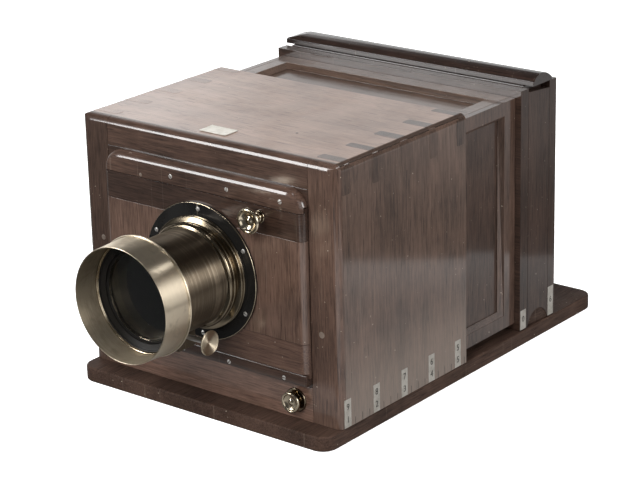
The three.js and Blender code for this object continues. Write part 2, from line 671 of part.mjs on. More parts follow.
// ---------------------------------------------------------------- inner box
// frame-and-panel wall; it is drawn flat and then turned into place.
// u runs along Y from the front end, v across the wall, w outward from the inner face
function makeInnerWall(name, v0, v1, place) {
  const frame = block([0, innerLength - JOINT], [v0, v1], [0, innerWall]);
  const u0 = innerFrontRail;
  const u1 = innerLength - JOINT - innerRearRail;
  const opening = block([u0, u1], [v0 + innerRail, v1 - innerRail], [-PAST, innerWall + PAST]);
  const grooveLow = innerWall - innerRecess - innerPanelThick;
  const groove = block([u0 - panelTuck, u1 + panelTuck],
    [v0 + innerRail - panelTuck, v1 - innerRail + panelTuck],
    [grooveLow - JOINT, innerWall - innerRecess + JOINT]);
  const mouth = prism(outline([[u0 - innerChamfer, v0 + innerRail - innerChamfer],
    [u1 + innerChamfer, v0 + innerRail - innerChamfer], [u1 + innerChamfer, v1 - innerRail + innerChamfer],
    [u0 - innerChamfer, v1 - innerRail + innerChamfer]]), 'z', innerWall - innerChamferDeep, innerWall + PAST);
  const panel = block([u0 - panelTuck + JOINT, u1 + panelTuck - JOINT],
    [v0 + innerRail - panelTuck + JOINT, v1 - innerRail + panelTuck - JOINT],
    [grooveLow, innerWall - innerRecess]);
  add(`inner_${name}_frame`, place(cut(frame, opening, groove, mouth)), mahogany);
  add(`inner_${name}_panel`, place(panel), paleMahogany);
}

function basis(geometry, u, v, w, origin) {
  const matrix = new THREE.Matrix4().makeBasis(new THREE.Vector3(...u), new THREE.Vector3(...v),
    new THREE.Vector3(...w)).setPosition(...origin);
  geometry.applyMatrix4(matrix);
  if (matrix.determinant() < 0) flip(geometry);
  return geometry;
}

function makeInnerBox() {
  const inside = innerHalf - innerWall - JOINT;
  const along = [0, 1, 0];
  makeInnerWall('top', -inside, inside,
    g => basis(g, along, [1, 0, 0], [0, 0, 1], [0, innerFrontY, innerHigh - innerWall]));
  makeInnerWall('floor', -inside, inside,
    g => basis(g, along, [1, 0, 0], [0, 0, -1], [0, innerFrontY, innerLow + innerWall]));
  makeInnerWall('left', innerLow, innerHigh,
    g => basis(g, along, [0, 0, 1], [-1, 0, 0], [-innerHalf + innerWall, innerFrontY, 0]));
  makeInnerWall('right', innerLow, innerHigh,
    g => basis(g, along, [0, 0, 1], [1, 0, 0], [innerHalf - innerWall, innerFrontY, 0]));
}

// ---------------------------------------------------------------- rear frame
function framed(halfWidth, low, high, side, below, above) {
  const shape = roundedOutline(-halfWidth, halfWidth, low, high, 0);
  shape.holes.push(new THREE.Path(roundedOutline(-halfWidth + side, halfWidth - side,
    low + below, high - above, 0).getPoints()));
  return shape;
}

function makeRearFrame() {
  const openings = framed(rearHalf, rearLow, rearTop, rearOpeningSide, rearOpeningLow, rearOpeningLow);
  add('rear_front_board', prism(openings, 'y', rearFrontY, rearFrontY + rearFrontThick), darkMahogany);
  add('rear_back_frame', prism(openings, 'y', slotBackY + JOINT, rearBackY), mahogany);
  const middleY = (slotFrontY + slotBackY) / 2;
  for (const [name, side] of [['left', -1], ['right', 1]]) {
    const board = outline([[slotFrontY, rearLow], [slotBackY, rearLow], [slotBackY, rearSideTop - rearSideFall],
      [slotFrontY, rearSideTop]]);
    const x = [side * rearHalf, side * (rearHalf - rearSideThick)].sort((a, b) => a - b);
    const scoop = new THREE.CylinderGeometry(scoopRadius, scoopRadius, 2 * scoopDepth, 40);
    scoop.rotateZ(Math.PI / 2).translate(side * rearHalf, middleY, baseThick - scoopDrop);
    add(`rear_side_${name}`, cut(prism(board, 'x', x[0], x[1]), scoop), mahogany);
  }
  const floorHalf = rearHalf - rearSideThick - JOINT;
  add('rear_floor', block([-floorHalf, floorHalf], [slotFrontY, slotBackY],
    [rearLow, rearLow + rearFloorThick]), mahogany);
}

// ---------------------------------------------------------------- focusing screen
function makeScreen() {
  const half = rearHalf - rearSideThick - RUN;
  const low = rearLow + rearFloorThick + JOINT;
  const high = rearTop + capGap - JOINT;
  const frontY0 = slotFrontY + RUN;
  const backY0 = frontY0 + screenThick;
  const glassFrontY = (frontY0 + backY0) / 2 - glassThick / 2;
  const frame = prism(framed(half, low, high, screenMargin, screenMargin, screenMargin), 'y', frontY0, backY0);
  const glassHalf = half - screenMargin + screenLip;
  const glassLow = low + screenMargin - screenLip;
  const glassHigh = high - screenMargin + screenLip;
  const rebate = block([-glassHalf - glassPlay, glassHalf + glassPlay], [glassFrontY - JOINT, backY0 + PAST],
    [glassLow - glassPlay, glassHigh + glassPlay]);
  add('screen_frame', cut(frame, rebate), darkMahogany);
  add('ground_glass', block([-glassHalf, glassHalf], [glassFrontY, glassFrontY + glassThick],
    [glassLow, glassHigh]), frosted);
  // bead that holds the glass in its rebate
  const beadShape = roundedOutline(-glassHalf, glassHalf, glassLow, glassHigh, 0);
  beadShape.holes.push(new THREE.Path(roundedOutline(-glassHalf + screenLip, glassHalf - screenLip,
    glassLow + screenLip, glassHigh - screenLip, 0).getPoints()));
  add('glass_bead', prism(beadShape, 'y', glassFrontY + glassThick + JOINT, backY0), darkMahogany);

  const capLow = rearTop + capGap;
  const capHalf = rearHalf + capHang;
  const capTop = capLow + capHeight;
  const capFrontY = slotFrontY + capSetback;
  const capBackY = capFrontY + capDepth;
  const profile = new THREE.Shape();
  profile.moveTo(capFrontY, capLow);
  profile.lineTo(capBackY, capLow);
  profile.lineTo(capBackY, capLow + capBackEdge);
  profile.quadraticCurveTo((capFrontY + capCrest + capBackY) / 2, capTop, capFrontY + capCrest, capTop);
  profile.quadraticCurveTo(capFrontY + capSlopeTop, capTop, capFrontY + capSlopeStart, capLow + capLip);
  profile.lineTo(capFrontY, capLow + capLip);
  const cap = prism(profile, 'x', -capHalf, capHalf);
  const taper = prism(outline([[-capHalf - PAST, capLow + capLip], [-capHalf + capTaper, capTop + PAST / 4],
    [-capHalf - PAST, capTop + PAST]]), 'y', capFrontY - PAST, capBackY + PAST);
  add('screen_cap', cut(cap, taper), darkMahogany);
}

// ---------------------------------------------------------------- label
function makeLabel() {
  const y = frontY + labelBack;
  add('top_label', block([labelX - labelWidth / 2, labelX + labelWidth / 2],
    [y - labelLength / 2, y + labelLength / 2], [outerTop + JOINT, outerTop + JOINT + labelThick]), paper);
}

makeBaseboard();
makeOuterBox();
makeFrontFrame();
makeRaisedBars();
makeLensBoard();
makeFlange();
makeSleeve();
makePinionBox();
makePinion();
makeRack();
makeTube();
makeHood();
makeThumbscrew('board_thumbscrew', boardScrewX, boardScrewZ, raisedFaceY, boardScrewReach,
  boardScrewRadius, raisedBackY - JOINT);
makeThumbscrew('front_thumbscrew', frontScrewX, frontScrewZ, frontY, frontScrewReach,
  frontScrewRadius, frontY + frameThick + screwTip);
makeInnerBox();
makeRearFrame();
makeScreen();
makeLabel();

export default camera;
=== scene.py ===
# %% [markdown]
# # A sliding-box plate camera
# Two mahogany boxes, one inside the other, stand on a baseboard. A brass lens looks out of the
# front, and a ground-glass screen stands in a frame at the back. The construction is already
# made: every board and every ring has its real size. This lesson gives it the finish of an old
# instrument: polished wood, lacquered brass, black enamel, glass and paper.

# %% Load the frame
from math import cos, pi, radians, sin

import bpy
from mathutils import Matrix, Vector


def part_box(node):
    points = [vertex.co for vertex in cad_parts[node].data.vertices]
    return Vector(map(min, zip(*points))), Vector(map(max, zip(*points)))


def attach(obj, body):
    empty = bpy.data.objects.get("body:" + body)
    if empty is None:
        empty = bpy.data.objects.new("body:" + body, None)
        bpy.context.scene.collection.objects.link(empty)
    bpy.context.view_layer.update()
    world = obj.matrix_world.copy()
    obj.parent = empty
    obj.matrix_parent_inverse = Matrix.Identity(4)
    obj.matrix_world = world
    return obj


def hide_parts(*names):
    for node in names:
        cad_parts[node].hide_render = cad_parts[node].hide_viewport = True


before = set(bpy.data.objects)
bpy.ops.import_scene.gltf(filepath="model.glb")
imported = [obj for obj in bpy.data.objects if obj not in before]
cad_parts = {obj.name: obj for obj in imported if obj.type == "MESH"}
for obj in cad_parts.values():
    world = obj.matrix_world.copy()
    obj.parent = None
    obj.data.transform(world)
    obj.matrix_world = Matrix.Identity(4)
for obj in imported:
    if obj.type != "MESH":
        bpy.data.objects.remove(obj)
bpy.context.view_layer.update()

MM = 0.001
print("frame loaded:", len(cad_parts), "nodes")

# %% [markdown]
# ## Selecting one thing at a time
# Every operator acts on all that is selected, and the frame comes in selected all over. One could
# click each piece by hand, or change the mesh without operators. Here every step starts with a
# clean selection made in code, so it does the same thing on every run and reads like the clicks.

# %% Selection helpers
def only(piece):
    """Back to object mode with this piece alone selected and active."""
    if bpy.context.object and bpy.context.object.mode != "OBJECT":
        bpy.ops.object.mode_set(mode="OBJECT")
    bpy.ops.object.select_all(action="DESELECT")
    bpy.context.view_layer.objects.active = piece
    piece.select_set(True)


def edit(piece, edges=None, faces=None):
    """Edit mode with the edges or faces selected that a test picks by their place."""
    only(piece)
    bpy.ops.object.mode_set(mode="EDIT")
    bpy.ops.mesh.select_mode(type="EDGE" if edges else "FACE")
    bpy.ops.mesh.select_all(action="DESELECT")
    bpy.ops.object.mode_set(mode="OBJECT")
    mesh = piece.data
    if edges:
        for edge in mesh.edges:
            edge.select = edges(*(mesh.vertices[i].co for i in edge.vertices))
    if faces:
        for face in mesh.polygons:
            face.select = faces(face.center, face.normal)
    bpy.ops.object.mode_set(mode="EDIT")
    if not edges and not faces:
        bpy.ops.mesh.select_all(action="SELECT")


print("selected as it comes in:", len(bpy.context.selected_objects))

# %% [markdown]
# ## Shared effects
# Grain, polish, turning marks and stains appear on many pieces. Each material could hold its own
# copy of those nodes, but then every change would have to be made ten times. So each effect is a
# node group with named inputs. A group puts out masks, tones and heights only, and each material
# decides what to do with them.

# %% Sums of node outputs
def maths(tree, operation, first, second=None, clamp=False):
    node = tree.nodes.new("ShaderNodeMath")
    node.operation = operation
    node.use_clamp = clamp
    for socket, value in zip(node.inputs, (first, second)):
        if value is None:
            continue
        if isinstance(value, (int, float)):
            socket.default_value = value
        else:
            tree.links.new(value, socket)
    return node.outputs[0]


def plus(tree, first, second, clamp=False):
    return maths(tree, "ADD", first, second, clamp)


def minus(tree, first, second, clamp=False):
    return maths(tree, "SUBTRACT", first, second, clamp)


def times(tree, first, second):
    return maths(tree, "MULTIPLY", first, second)


print("sums ready")

# %% Groups and patterns
def new_group(name, inputs, outputs):
    group = bpy.data.node_groups.new(name, "ShaderNodeTree")
    for title, kind, value in inputs:
        socket = group.interface.new_socket(title, in_out="INPUT", socket_type=kind)
        if value is not None:
            socket.default_value = value
    for title in outputs:
        group.interface.new_socket(title, in_out="OUTPUT", socket_type="NodeSocketFloat")
    start = group.nodes.new("NodeGroupInput")
    end = group.nodes.new("NodeGroupOutput")
    return group, start, end


def put_out(group, end, **sockets):
    """Links each named result to the group's output of that name."""
    for title, socket in sockets.items():
        group.links.new(socket, end.inputs[title])
    return group


def noise(tree, vector, scale, detail=2.0, roughness=0.5, distortion=0.0):
    node = tree.nodes.new("ShaderNodeTexNoise")
    node.inputs["Scale"].default_value = scale
    node.inputs["Detail"].default_value = detail
    node.inputs["Roughness"].default_value = roughness
    node.inputs["Distortion"].default_value = distortion
    tree.links.new(vector, node.inputs["Vector"])
    return node.outputs["Fac"]


def spread(tree, value, low, high, to_low=0.0, to_high=1.0):
    """Stretches the band from low to high to new ends and clips what lies outside."""
    node = tree.nodes.new("ShaderNodeMapRange")
    node.interpolation_type = "SMOOTHSTEP"
    for title, number in (("From Min", low), ("From Max", high), ("To Min", to_low), ("To Max", to_high)):
        node.inputs[title].default_value = number
    tree.links.new(value, node.inputs["Value"])
    return node.outputs["Result"]


def stretched(tree, vector, scale):
    node = tree.nodes.new("ShaderNodeMapping")
    node.inputs["Scale"].default_value = scale
    tree.links.new(vector, node.inputs["Vector"])
    return node.outputs["Vector"]


print("patterns ready")

# %% [markdown]
# ### Mahogany
# Mahogany shows straight fine fibres, short dark pores and soft bands of colour. A picture of a
# board could be laid over each piece, but it would end at the edges and show the same knots
# twice. Noise has no edges. The board's own coordinates are squeezed along the grain before they
# reach the group, so one noise gives long fibres, whichever way the board's grain runs.

# %% Mahogany grain group
def make_grain():
    group, start, end = new_group("mahogany_grain", [
        ("Along grain", "NodeSocketVector", None), ("Plain", "NodeSocketVector", None),
        ("Fibre", "NodeSocketFloat", 0.5), ("Band", "NodeSocketFloat", 0.5)], ["Tone", "Pores", "Height"])
    along = start.outputs["Along grain"]
    fibre = noise(group, along, scale=1300, detail=4, roughness=0.75, distortion=0.15)
    band = noise(group, along, scale=110, detail=3, roughness=0.6, distortion=0.6)
    cloud = noise(group, start.outputs["Plain"], scale=26, detail=4, roughness=0.6)
    pores = spread(group, noise(group, along, scale=1500, detail=2, roughness=0.6), 0.60, 0.70)
    tone = times(group, minus(group, fibre, 0.5), start.outputs["Fibre"])
    more = times(group, minus(group, band, 0.5), start.outputs["Band"])
    soft = times(group, minus(group, cloud, 0.5), 1.3)
    whole = plus(group, plus(group, tone, more), plus(group, soft, 0.5), clamp=True)
    return put_out(group, end, Tone=whole, Pores=pores, Height=minus(group, fibre, pores))


GRAIN = make_grain()
print("group:", GRAIN.name)

# %% [markdown]
# ### Handling marks
# A century and a half of hands leave small light specks, fine scratches and dull patches in the
# polish. Scratches could be drawn as thin meshes, but there are hundreds and they are too shallow
# to cast a shadow. So they are noise squeezed hard along two slanting directions.

# %% Handling marks group
def make_marks():
    group, start, end = new_group("handling_marks", [("Vector", "NodeSocketVector", None)],
                                  ["Specks", "Scratches", "Dull"])
    vector = start.outputs["Vector"]
    specks = spread(group, noise(group, vector, scale=620, detail=1), 0.76, 0.82)
    lines = []
    for turn in (0.5, -1.1):
        turned_way = group.nodes.new("ShaderNodeMapping")
        turned_way.inputs["Rotation"].default_value = (turn, turn * 0.7, turn * 1.3)
        turned_way.inputs["Scale"].default_value = (1, 1, 0.02)
        group.links.new(vector, turned_way.inputs["Vector"])
        line = noise(group, turned_way.outputs["Vector"], scale=700, detail=0)
        lines.append(spread(group, line, 0.80, 0.86))
    dull = spread(group, noise(group, vector, scale=34, detail=4, roughness=0.6), 0.45, 0.72)
    return put_out(group, end, Specks=specks, Scratches=maths(group, "MAXIMUM", *lines), Dull=dull)


MARKS = make_marks()
print("group:", MARKS.name)

# %% [markdown]
# ### Turned brass
# A lathe leaves rings round the work, and the lacquer wears along them. The rings could be cut
# into the mesh, but they are far finer than any edge. So they come from a noise that changes fast
# along the lens and hardly at all round it. Stains sit on top.

# %% Turned brass group
def make_turning():
    group, start, end = new_group("turned_brass", [
        ("Vector", "NodeSocketVector", None), ("Rings", "NodeSocketVector", None)],
        ["Lines", "Stains", "Wear"])
    vector = start.outputs["Vector"]
    lines = noise(group, start.outputs["Rings"], scale=260, detail=3, roughness=0.7)
    blots = noise(group, vector, scale=70, detail=4, roughness=0.55, distortion=0.6)
    patchy = noise(group, vector, scale=48, detail=3, roughness=0.6)
    wear = spread(group, times(group, lines, plus(group, patchy, 0.5)), 0.5, 0.72)
    return put_out(group, end, Lines=lines, Stains=spread(group, blots, 0.48, 0.72), Wear=wear)


TURNING = make_turning()
print("group:", TURNING.name)

# %% [markdown]
# ## Materials
# Wood, brass, enamel, glass and paper each reflect light in their own way. They could be mixed
# from single shaders, but one Principled shader holds them all, and any other program can read
# it. The groups feed its colour, roughness and relief, and the values that are the same all over
# a surface stand on its own sockets.

# %% Material helpers
def new_material(name):
    material = bpy.data.materials.new(name)
    material.use_nodes = True
    tree = material.node_tree
    shader = tree.nodes["Principled BSDF"]
    place_node = tree.nodes.new("ShaderNodeTexCoord")
    return material, tree, shader, place_node.outputs["Object"]


def group_node(tree, group, **links):
    node = tree.nodes.new("ShaderNodeGroup")
    node.node_tree = group
    for title, value in links.items():
        socket = node.inputs[title.replace("_", " ")]
        if isinstance(value, (int, float)):
            socket.default_value = value
        else:
            tree.links.new(value, socket)
    return node.outputs


def blended(tree, amount, first, second):
    """A colour between two colours or colour sockets."""
    node = tree.nodes.new("ShaderNodeMix")
    node.data_type = "RGBA"
    for title, value in (("Factor", amount), ("A", first), ("B", second)):
        socket = [s for s in node.inputs if s.name == title and (title == "Factor") != (s.type == "RGBA")
                  and s.type in ("VALUE", "RGBA")][0]
        if isinstance(value, tuple):
            socket.default_value = (*value, 1)
        elif isinstance(value, (int, float)):
            socket.default_value = value
        else:
            tree.links.new(value, socket)
    return [s for s in node.outputs if s.type == "RGBA"][0]


def bump(tree, shader, height, strength, distance):
    node = tree.nodes.new("ShaderNodeBump")
    node.inputs["Strength"].default_value = strength
    node.inputs["Distance"].default_value = distance * MM
    tree.links.new(height, node.inputs["Height"])
    tree.links.new(node.outputs["Normal"], shader.inputs["Normal"])


print("material helpers ready")

# %% [markdown]
# ### The wood
# The front and the rear frame are nearly black, the top has faded, and each board has its own cut
# of the tree. Separate materials could be drawn for all of them, but they differ only in tone and
# direction. So one function makes them from two tones, the way the grain runs and a shift within
# the log. Under the thin, glossy polish the wood itself is almost matt: that is the coat.

# %% Wood helpers
SQUEEZE = {"X": (0.045, 1, 1), "Y": (1, 0.045, 1), "Z": (1, 1, 0.045)}
# The last colour on the next line is painted light: the lowest centimetres of a side are painted paler, for
# the light that the table throws on them. The reach below runs from where that paler paint starts to where it
# is full.
SPECK, SCRATCH, FOOT_LIGHT = (0.36, 0.30, 0.24), (0.26, 0.2, 0.16), (0.27, 0.22, 0.18)
FOOT_LIGHT_REACH = (66 * MM, 8 * MM)
# The dark colour on the next line is real dirt along the joint behind the front frame and painted shade on
# the top's round edges; the two reaches say where each starts and where it is full, in metres.
DIRT_AND_SHADE, JOINT_DIRT, ROUND_SHADE = (0.030, 0.018, 0.013), (-112.4 * MM, -113.4 * MM), (84.8 * MM, 86.2 * MM)
# Painted shade: the top board is painted darker towards the back and right, over the reach given in metres.
SHADE, SHADE_REACH = (0.05, 0.033, 0.024), (-130 * MM, 40 * MM)


def x_y_z(tree, vector):
    """The three coordinates of a place, each as a socket of its own."""
    node = tree.nodes.new("ShaderNodeSeparateXYZ")
    tree.links.new(vector, node.inputs["Vector"])
    return [node.outputs[letter] for letter in "XYZ"]


print("coordinates can be split")

# %% Mahogany material
def mahogany(name, dark, light, grain, shift, fibre=2.3, band=0.7, gloss=0.42, polish=0.85, foot=0.0,
             dirt_and_shade=None):
    """foot: how much paler the lowest centimetres are painted, as painted light from the table; the last
    argument changes the colour by place, with dirt and painted shade.
    """
    material, tree, shader, place_here = new_material(name)
    moved = tree.nodes.new("ShaderNodeMapping")
    moved.inputs["Location"].default_value = (shift, shift * 1.7, shift * 0.6)
    tree.links.new(place_here, moved.inputs["Vector"])
    spot = moved.outputs["Vector"]
    grain_out = group_node(tree, GRAIN, Along_grain=stretched(tree, spot, SQUEEZE[grain]), Plain=spot,
                           Fibre=fibre, Band=band)
    marks = group_node(tree, MARKS, Vector=spot)
    wood = blended(tree, grain_out["Tone"], dark, light)
    pored = blended(tree, times(tree, grain_out["Pores"], 0.6), wood, tuple(c * 0.2 for c in dark))
    worn = blended(tree, times(tree, marks["Specks"], 0.7), pored, SPECK)
    colour = blended(tree, times(tree, marks["Scratches"], 0.14), worn, SCRATCH)
    # painted light: the foot of the board is painted paler, for the table's light
    if foot:
        height = x_y_z(tree, place_here)[2]
        low = times(tree, spread(tree, height, *FOOT_LIGHT_REACH), foot)
        colour = blended(tree, low, colour, FOOT_LIGHT)
    if dirt_and_shade:
        colour = dirt_and_shade(tree, place_here, colour)
    tree.links.new(colour, shader.inputs["Base Color"])
    rough = plus(tree, times(tree, marks["Dull"], 0.16), gloss)
    tree.links.new(plus(tree, rough, times(tree, grain_out["Pores"], 0.12)), shader.inputs["Roughness"])
    shader.inputs["Specular IOR Level"].default_value = 0.12
    shader.inputs["Coat Weight"].default_value = polish
    shader.inputs["Coat Roughness"].default_value = 0.1
    shader.inputs["Coat IOR"].default_value = 1.58
    bump(tree, shader, grain_out["Height"], strength=0.12, distance=0.12)
    return material


print("mahogany can be mixed")

# %% Dirt and painted shade on the top
def top_ageing(tree, place_here, colour):
    """Dirt lies along the joint behind the front frame; painted shade darkens the round edges and the back.
    """
    across, along, _ = x_y_z(tree, place_here)
    away = plus(tree, times(tree, across, 0.35), along)
    # painted shade: darker towards the back and right
    shaded = blended(tree, spread(tree, away, *SHADE_REACH, to_high=0.08), colour, SHADE)
    joint = spread(tree, along, *JOINT_DIRT, to_high=0.85)
    # painted shade on the round edges at either side
    round_shade = spread(tree, maths(tree, "ABSOLUTE", across), *ROUND_SHADE, to_high=0.92)
    return blended(tree, maths(tree, "MAXIMUM", joint, round_shade), shaded, DIRT_AND_SHADE)


print("dirt along the joint, from and to in m:", JOINT_DIRT)

# %% Mahogany boards
FRONT_Z = mahogany("front_wood_upright", (0.018, 0.0100, 0.0072), (0.072, 0.042, 0.030), "Z", 0.31)
# Painted light: the right stile is painted lighter than the left one, for the light that falls on it from the
# right.
FRONT_RIGHT_LIT = mahogany("front_wood_right_lit", (0.030, 0.0172, 0.0125), (0.115, 0.068, 0.050), "Z", 0.52)
FRONT_X = mahogany("front_wood_across", (0.022, 0.0122, 0.0088), (0.088, 0.051, 0.037), "X", 1.27)
# Painted light: the lower clamp is painted lighter than the upper one, for the light that falls on it.
CLAMP_LOW_LIT = mahogany("low_clamp_wood_lit", (0.032, 0.018, 0.013), (0.110, 0.064, 0.047), "X", 2.6)
CLAMP = mahogany("clamp_wood", (0.014, 0.0078, 0.0056), (0.050, 0.028, 0.020), "X", 2.2)
LENS_BOARD = mahogany("lens_board_wood", (0.040, 0.023, 0.0165), (0.135, 0.081, 0.060), "Z", 2.9)
LOW_RAIL = mahogany("bottom_rail_wood", (0.050, 0.028, 0.020), (0.160, 0.093, 0.068), "X", 3.4)
# The top takes dirt along its joint and painted shade on its round edges and towards its back.
TOP_WOOD = mahogany("top_wood", (0.135, 0.087, 0.066), (0.31, 0.210, 0.162), "X", 0.77, fibre=1.4, band=0.8,
                    polish=0.7, dirt_and_shade=top_ageing)
# painted light: the sides are painted paler towards their foot
SIDE_WOOD = mahogany("side_wood", (0.030, 0.018, 0.013), (0.116, 0.071, 0.052), "Z", 4.1, foot=0.36)
INNER_X = mahogany("inner_wood_across", (0.045, 0.028, 0.021), (0.13, 0.084, 0.063), "X", 5.3)
INNER_Z = mahogany("inner_wood_upright", (0.026, 0.015, 0.0108), (0.100, 0.060, 0.044), "Z", 5.9)
PANEL_X = mahogany("panel_wood_across", (0.04, 0.025, 0.019), (0.12, 0.079, 0.060), "X", 6.1)
PANEL_Z = mahogany("panel_wood_upright", (0.018, 0.0104, 0.0075), (0.072, 0.042, 0.031), "Z", 6.7, polish=0.6)
REAR_Z = mahogany("rear_wood_upright", (0.012, 0.0068, 0.0049), (0.052, 0.030, 0.022), "Z", 7.9, polish=0.45)
CAP_WOOD = mahogany("cap_wood", (0.008, 0.0045, 0.0035), (0.030, 0.016, 0.012), "X", 8.3)
BASE_WOOD = mahogany("base_wood", (0.017, 0.0098, 0.0072), (0.070, 0.041, 0.030), "Y", 8.9,
                     gloss=0.6, polish=0.0)
KEY_FADED = mahogany("key_wood_faded", (0.10, 0.064, 0.048), (0.25, 0.166, 0.127), "Z", 9.2, polish=0.7)
KEY_WOOD = mahogany("key_wood", (0.018, 0.0105, 0.0075), (0.085, 0.052, 0.038), "Z", 9.4, polish=0.8)
BARE_WOOD = mahogany("bare_wood", (0.020, 0.012, 0.009), (0.070, 0.044, 0.033), "Y", 9.9,
                     gloss=0.6, polish=0.0)
print("woods:", len([m for m in bpy.data.materials if "wood" in m.name]))

# %% [markdown]
# ### The metals
# The hood has lost its lacquer and shows bare brass with stains. The barrel still has its brown
# lacquer, worn through in rings, and the flange is enamelled black. Plain gold-coloured metal
# would look new. So a dull tone lies over the bright one, and the group's wear and stains say
# where. Light on turned work draws out across the rings, which is what the tangent is for.

# %% Brass
def brass(name, bright, dull, lacquer, gloss, rings=(0.05, 3, 0.05), relief=0.03, turned_marks=0.0, axis="Y",
          tarnish=0.0):
    """lacquer: how much of the metal the dull coat covers; tarnish: how far stains dull the metal."""
    material, tree, shader, spot = new_material(name)
    turning = group_node(tree, TURNING, Vector=spot, Rings=stretched(tree, spot, rings))
    bare = blended(tree, times(tree, turning["Stains"], 0.6), bright, dull)
    covered = minus(tree, lacquer, times(tree, turning["Wear"], 0.5), clamp=True)
    tree.links.new(blended(tree, covered, bare, dull), shader.inputs["Base Color"])
    rough = plus(tree, times(tree, turning["Stains"], 0.1), gloss)
    tree.links.new(plus(tree, rough, times(tree, turning["Lines"], 0.08)), shader.inputs["Roughness"])
    shader.inputs["Metallic"].default_value = 1
    if tarnish:
        film = times(tree, plus(tree, times(tree, turning["Stains"], 0.5), 0.75), tarnish)
        tree.links.new(minus(tree, 1.0, film), shader.inputs["Metallic"])
    if turned_marks:
        shader.inputs["Anisotropic"].default_value = turned_marks
        shader.inputs["Anisotropic Rotation"].default_value = 0.25
        tangent = tree.nodes.new("ShaderNodeTangent")
        tangent.direction_type = "RADIAL"
        tangent.axis = axis
        tree.links.new(tangent.outputs["Tangent"], shader.inputs["Tangent"])
    if relief:
        bump(tree, shader, turning["Lines"], strength=relief, distance=0.05)
    return material


print("brass can be mixed")

# %% Enamel
def enamel(name, colour, worn, gloss):
    material, tree, shader, spot = new_material(name)
    shader.inputs["Specular IOR Level"].default_value = 0.3
    marks = group_node(tree, MARKS, Vector=spot)
    scratched = blended(tree, times(tree, marks["Scratches"], 0.4), colour, worn)
    tree.links.new(scratched, shader.inputs["Base Color"])
    tree.links.new(plus(tree, times(tree, marks["Dull"], 0.2), gloss), shader.inputs["Roughness"])
    return material


print("enamel can be mixed")

# %% The camera's metals
HOOD_BRASS = brass("hood_brass", (0.74, 0.64, 0.49), (0.36, 0.30, 0.22), lacquer=0.04, gloss=0.26,
                   turned_marks=0.8, tarnish=0.025)
HOOD_INSIDE = brass("hood_inside_brass", (0.44, 0.37, 0.27), (0.18, 0.145, 0.10), lacquer=0.25, gloss=0.42,
                    turned_marks=0.8, tarnish=0.16)
RING_BRASS = brass("ring_brass", (0.62, 0.53, 0.39), (0.16, 0.12, 0.08), lacquer=0.05, gloss=0.14)
COLLAR_BRASS = brass("collar_brass", (0.42, 0.35, 0.25), (0.09, 0.070, 0.048), lacquer=0.62, gloss=0.12)
BARREL_BRASS = brass("barrel_brass", (0.46, 0.38, 0.28), (0.14, 0.111, 0.079), lacquer=0.92, gloss=0.34,
                     relief=0.05, turned_marks=0.92)
KNOB_BRASS = brass("knob_brass", (0.60, 0.52, 0.39), (0.24, 0.19, 0.14), lacquer=0.25, gloss=0.14, relief=0)
FACED_BRASS = brass("faced_brass", (0.72, 0.63, 0.48), (0.34, 0.28, 0.20), lacquer=0.10, gloss=0.36,
                    rings=(1, 0.05, 0.05), relief=0, turned_marks=0.9, axis="X")
STEEL = brass("dull_steel", (0.62, 0.60, 0.57), (0.26, 0.25, 0.23), lacquer=0.1, gloss=0.32, relief=0,
              tarnish=0.3)
BLACK = enamel("black_enamel", (0.008, 0.0075, 0.007), (0.22, 0.18, 0.13), gloss=0.16)
MATT_BLACK = enamel("matt_black", (0.010, 0.009, 0.008), (0.05, 0.04, 0.03), gloss=0.42)
print("metals:", len([m for m in bpy.data.materials if "brass" in m.name or "steel" in m.name]))

# %% [markdown]
# ### Glass, paper and bone
# The lens glass is clear, and the focusing screen is ground, so light passes but nothing is seen
# through it. The label is aged paper and the little number tags are bone. Clear and ground glass
# could be two shaders; one with its roughness low or high gives both. Paper and bone get their
# age from a soft noise between two tones.

# %% Glass
def glass(name, tint, rough):
    """Nearly smooth glass is dusty; ground glass scatters a little more where it is dull."""
    material, tree, shader, spot = new_material(name)
    marks = group_node(tree, MARKS, Vector=spot)
    shader.inputs["Base Color"].default_value = (*tint, 1)
    shader.inputs["Roughness"].default_value = rough
    shader.inputs["Transmission Weight"].default_value = 1
    shader.inputs["IOR"].default_value = 1.5
    if rough > 0.1:
        tree.links.new(plus(tree, times(tree, marks["Dull"], 0.1), rough), shader.inputs["Roughness"])
    else:
        dusty = blended(tree, times(tree, marks["Specks"], 0.4), tint, (0.4, 0.4, 0.4))
        tree.links.new(dusty, shader.inputs["Base Color"])
    return material


print("glass can be mixed")

# %% Paper and bone
def paper(name, light, dark, rough):
    material, tree, shader, spot = new_material(name)
    age = spread(tree, noise(tree, spot, scale=240, detail=5, roughness=0.65), 0.35, 0.75)
    tree.links.new(blended(tree, age, light, dark), shader.inputs["Base Color"])
    shader.inputs["Roughness"].default_value = rough
    bump(tree, shader, noise(tree, spot, scale=1500), strength=0.15, distance=0.05)
    return material


LENS_GLASS = glass("lens_glass", (0.93, 0.96, 0.96), rough=0.01)
GROUND = glass("ground_glass_face", (0.86, 0.88, 0.88), rough=0.5)
LABEL = paper("label_paper", (0.62, 0.60, 0.55), (0.45, 0.43, 0.38), rough=0.75)
BONE = paper("tag_bone", (0.30, 0.28, 0.25), (0.19, 0.175, 0.15), rough=0.45)
PLUG = paper("plug_wood", (0.16, 0.125, 0.10), (0.06, 0.045, 0.035), rough=0.4)
INK = enamel("ink", (0.014, 0.012, 0.010), (0.05, 0.045, 0.04), gloss=0.5)
print("materials in all:", len(bpy.data.materials))

# %% [markdown]
# ## Copies of the boards
# Most of the camera is flat board, cut to size and glued. Each could be built again from a cube,
# but its shape is already in the frame. So a board starts as a copy of its node. A node's mesh is
# loose triangles, which are merged and joined into flat faces, because only then are its edges
# real edges that can be rounded.

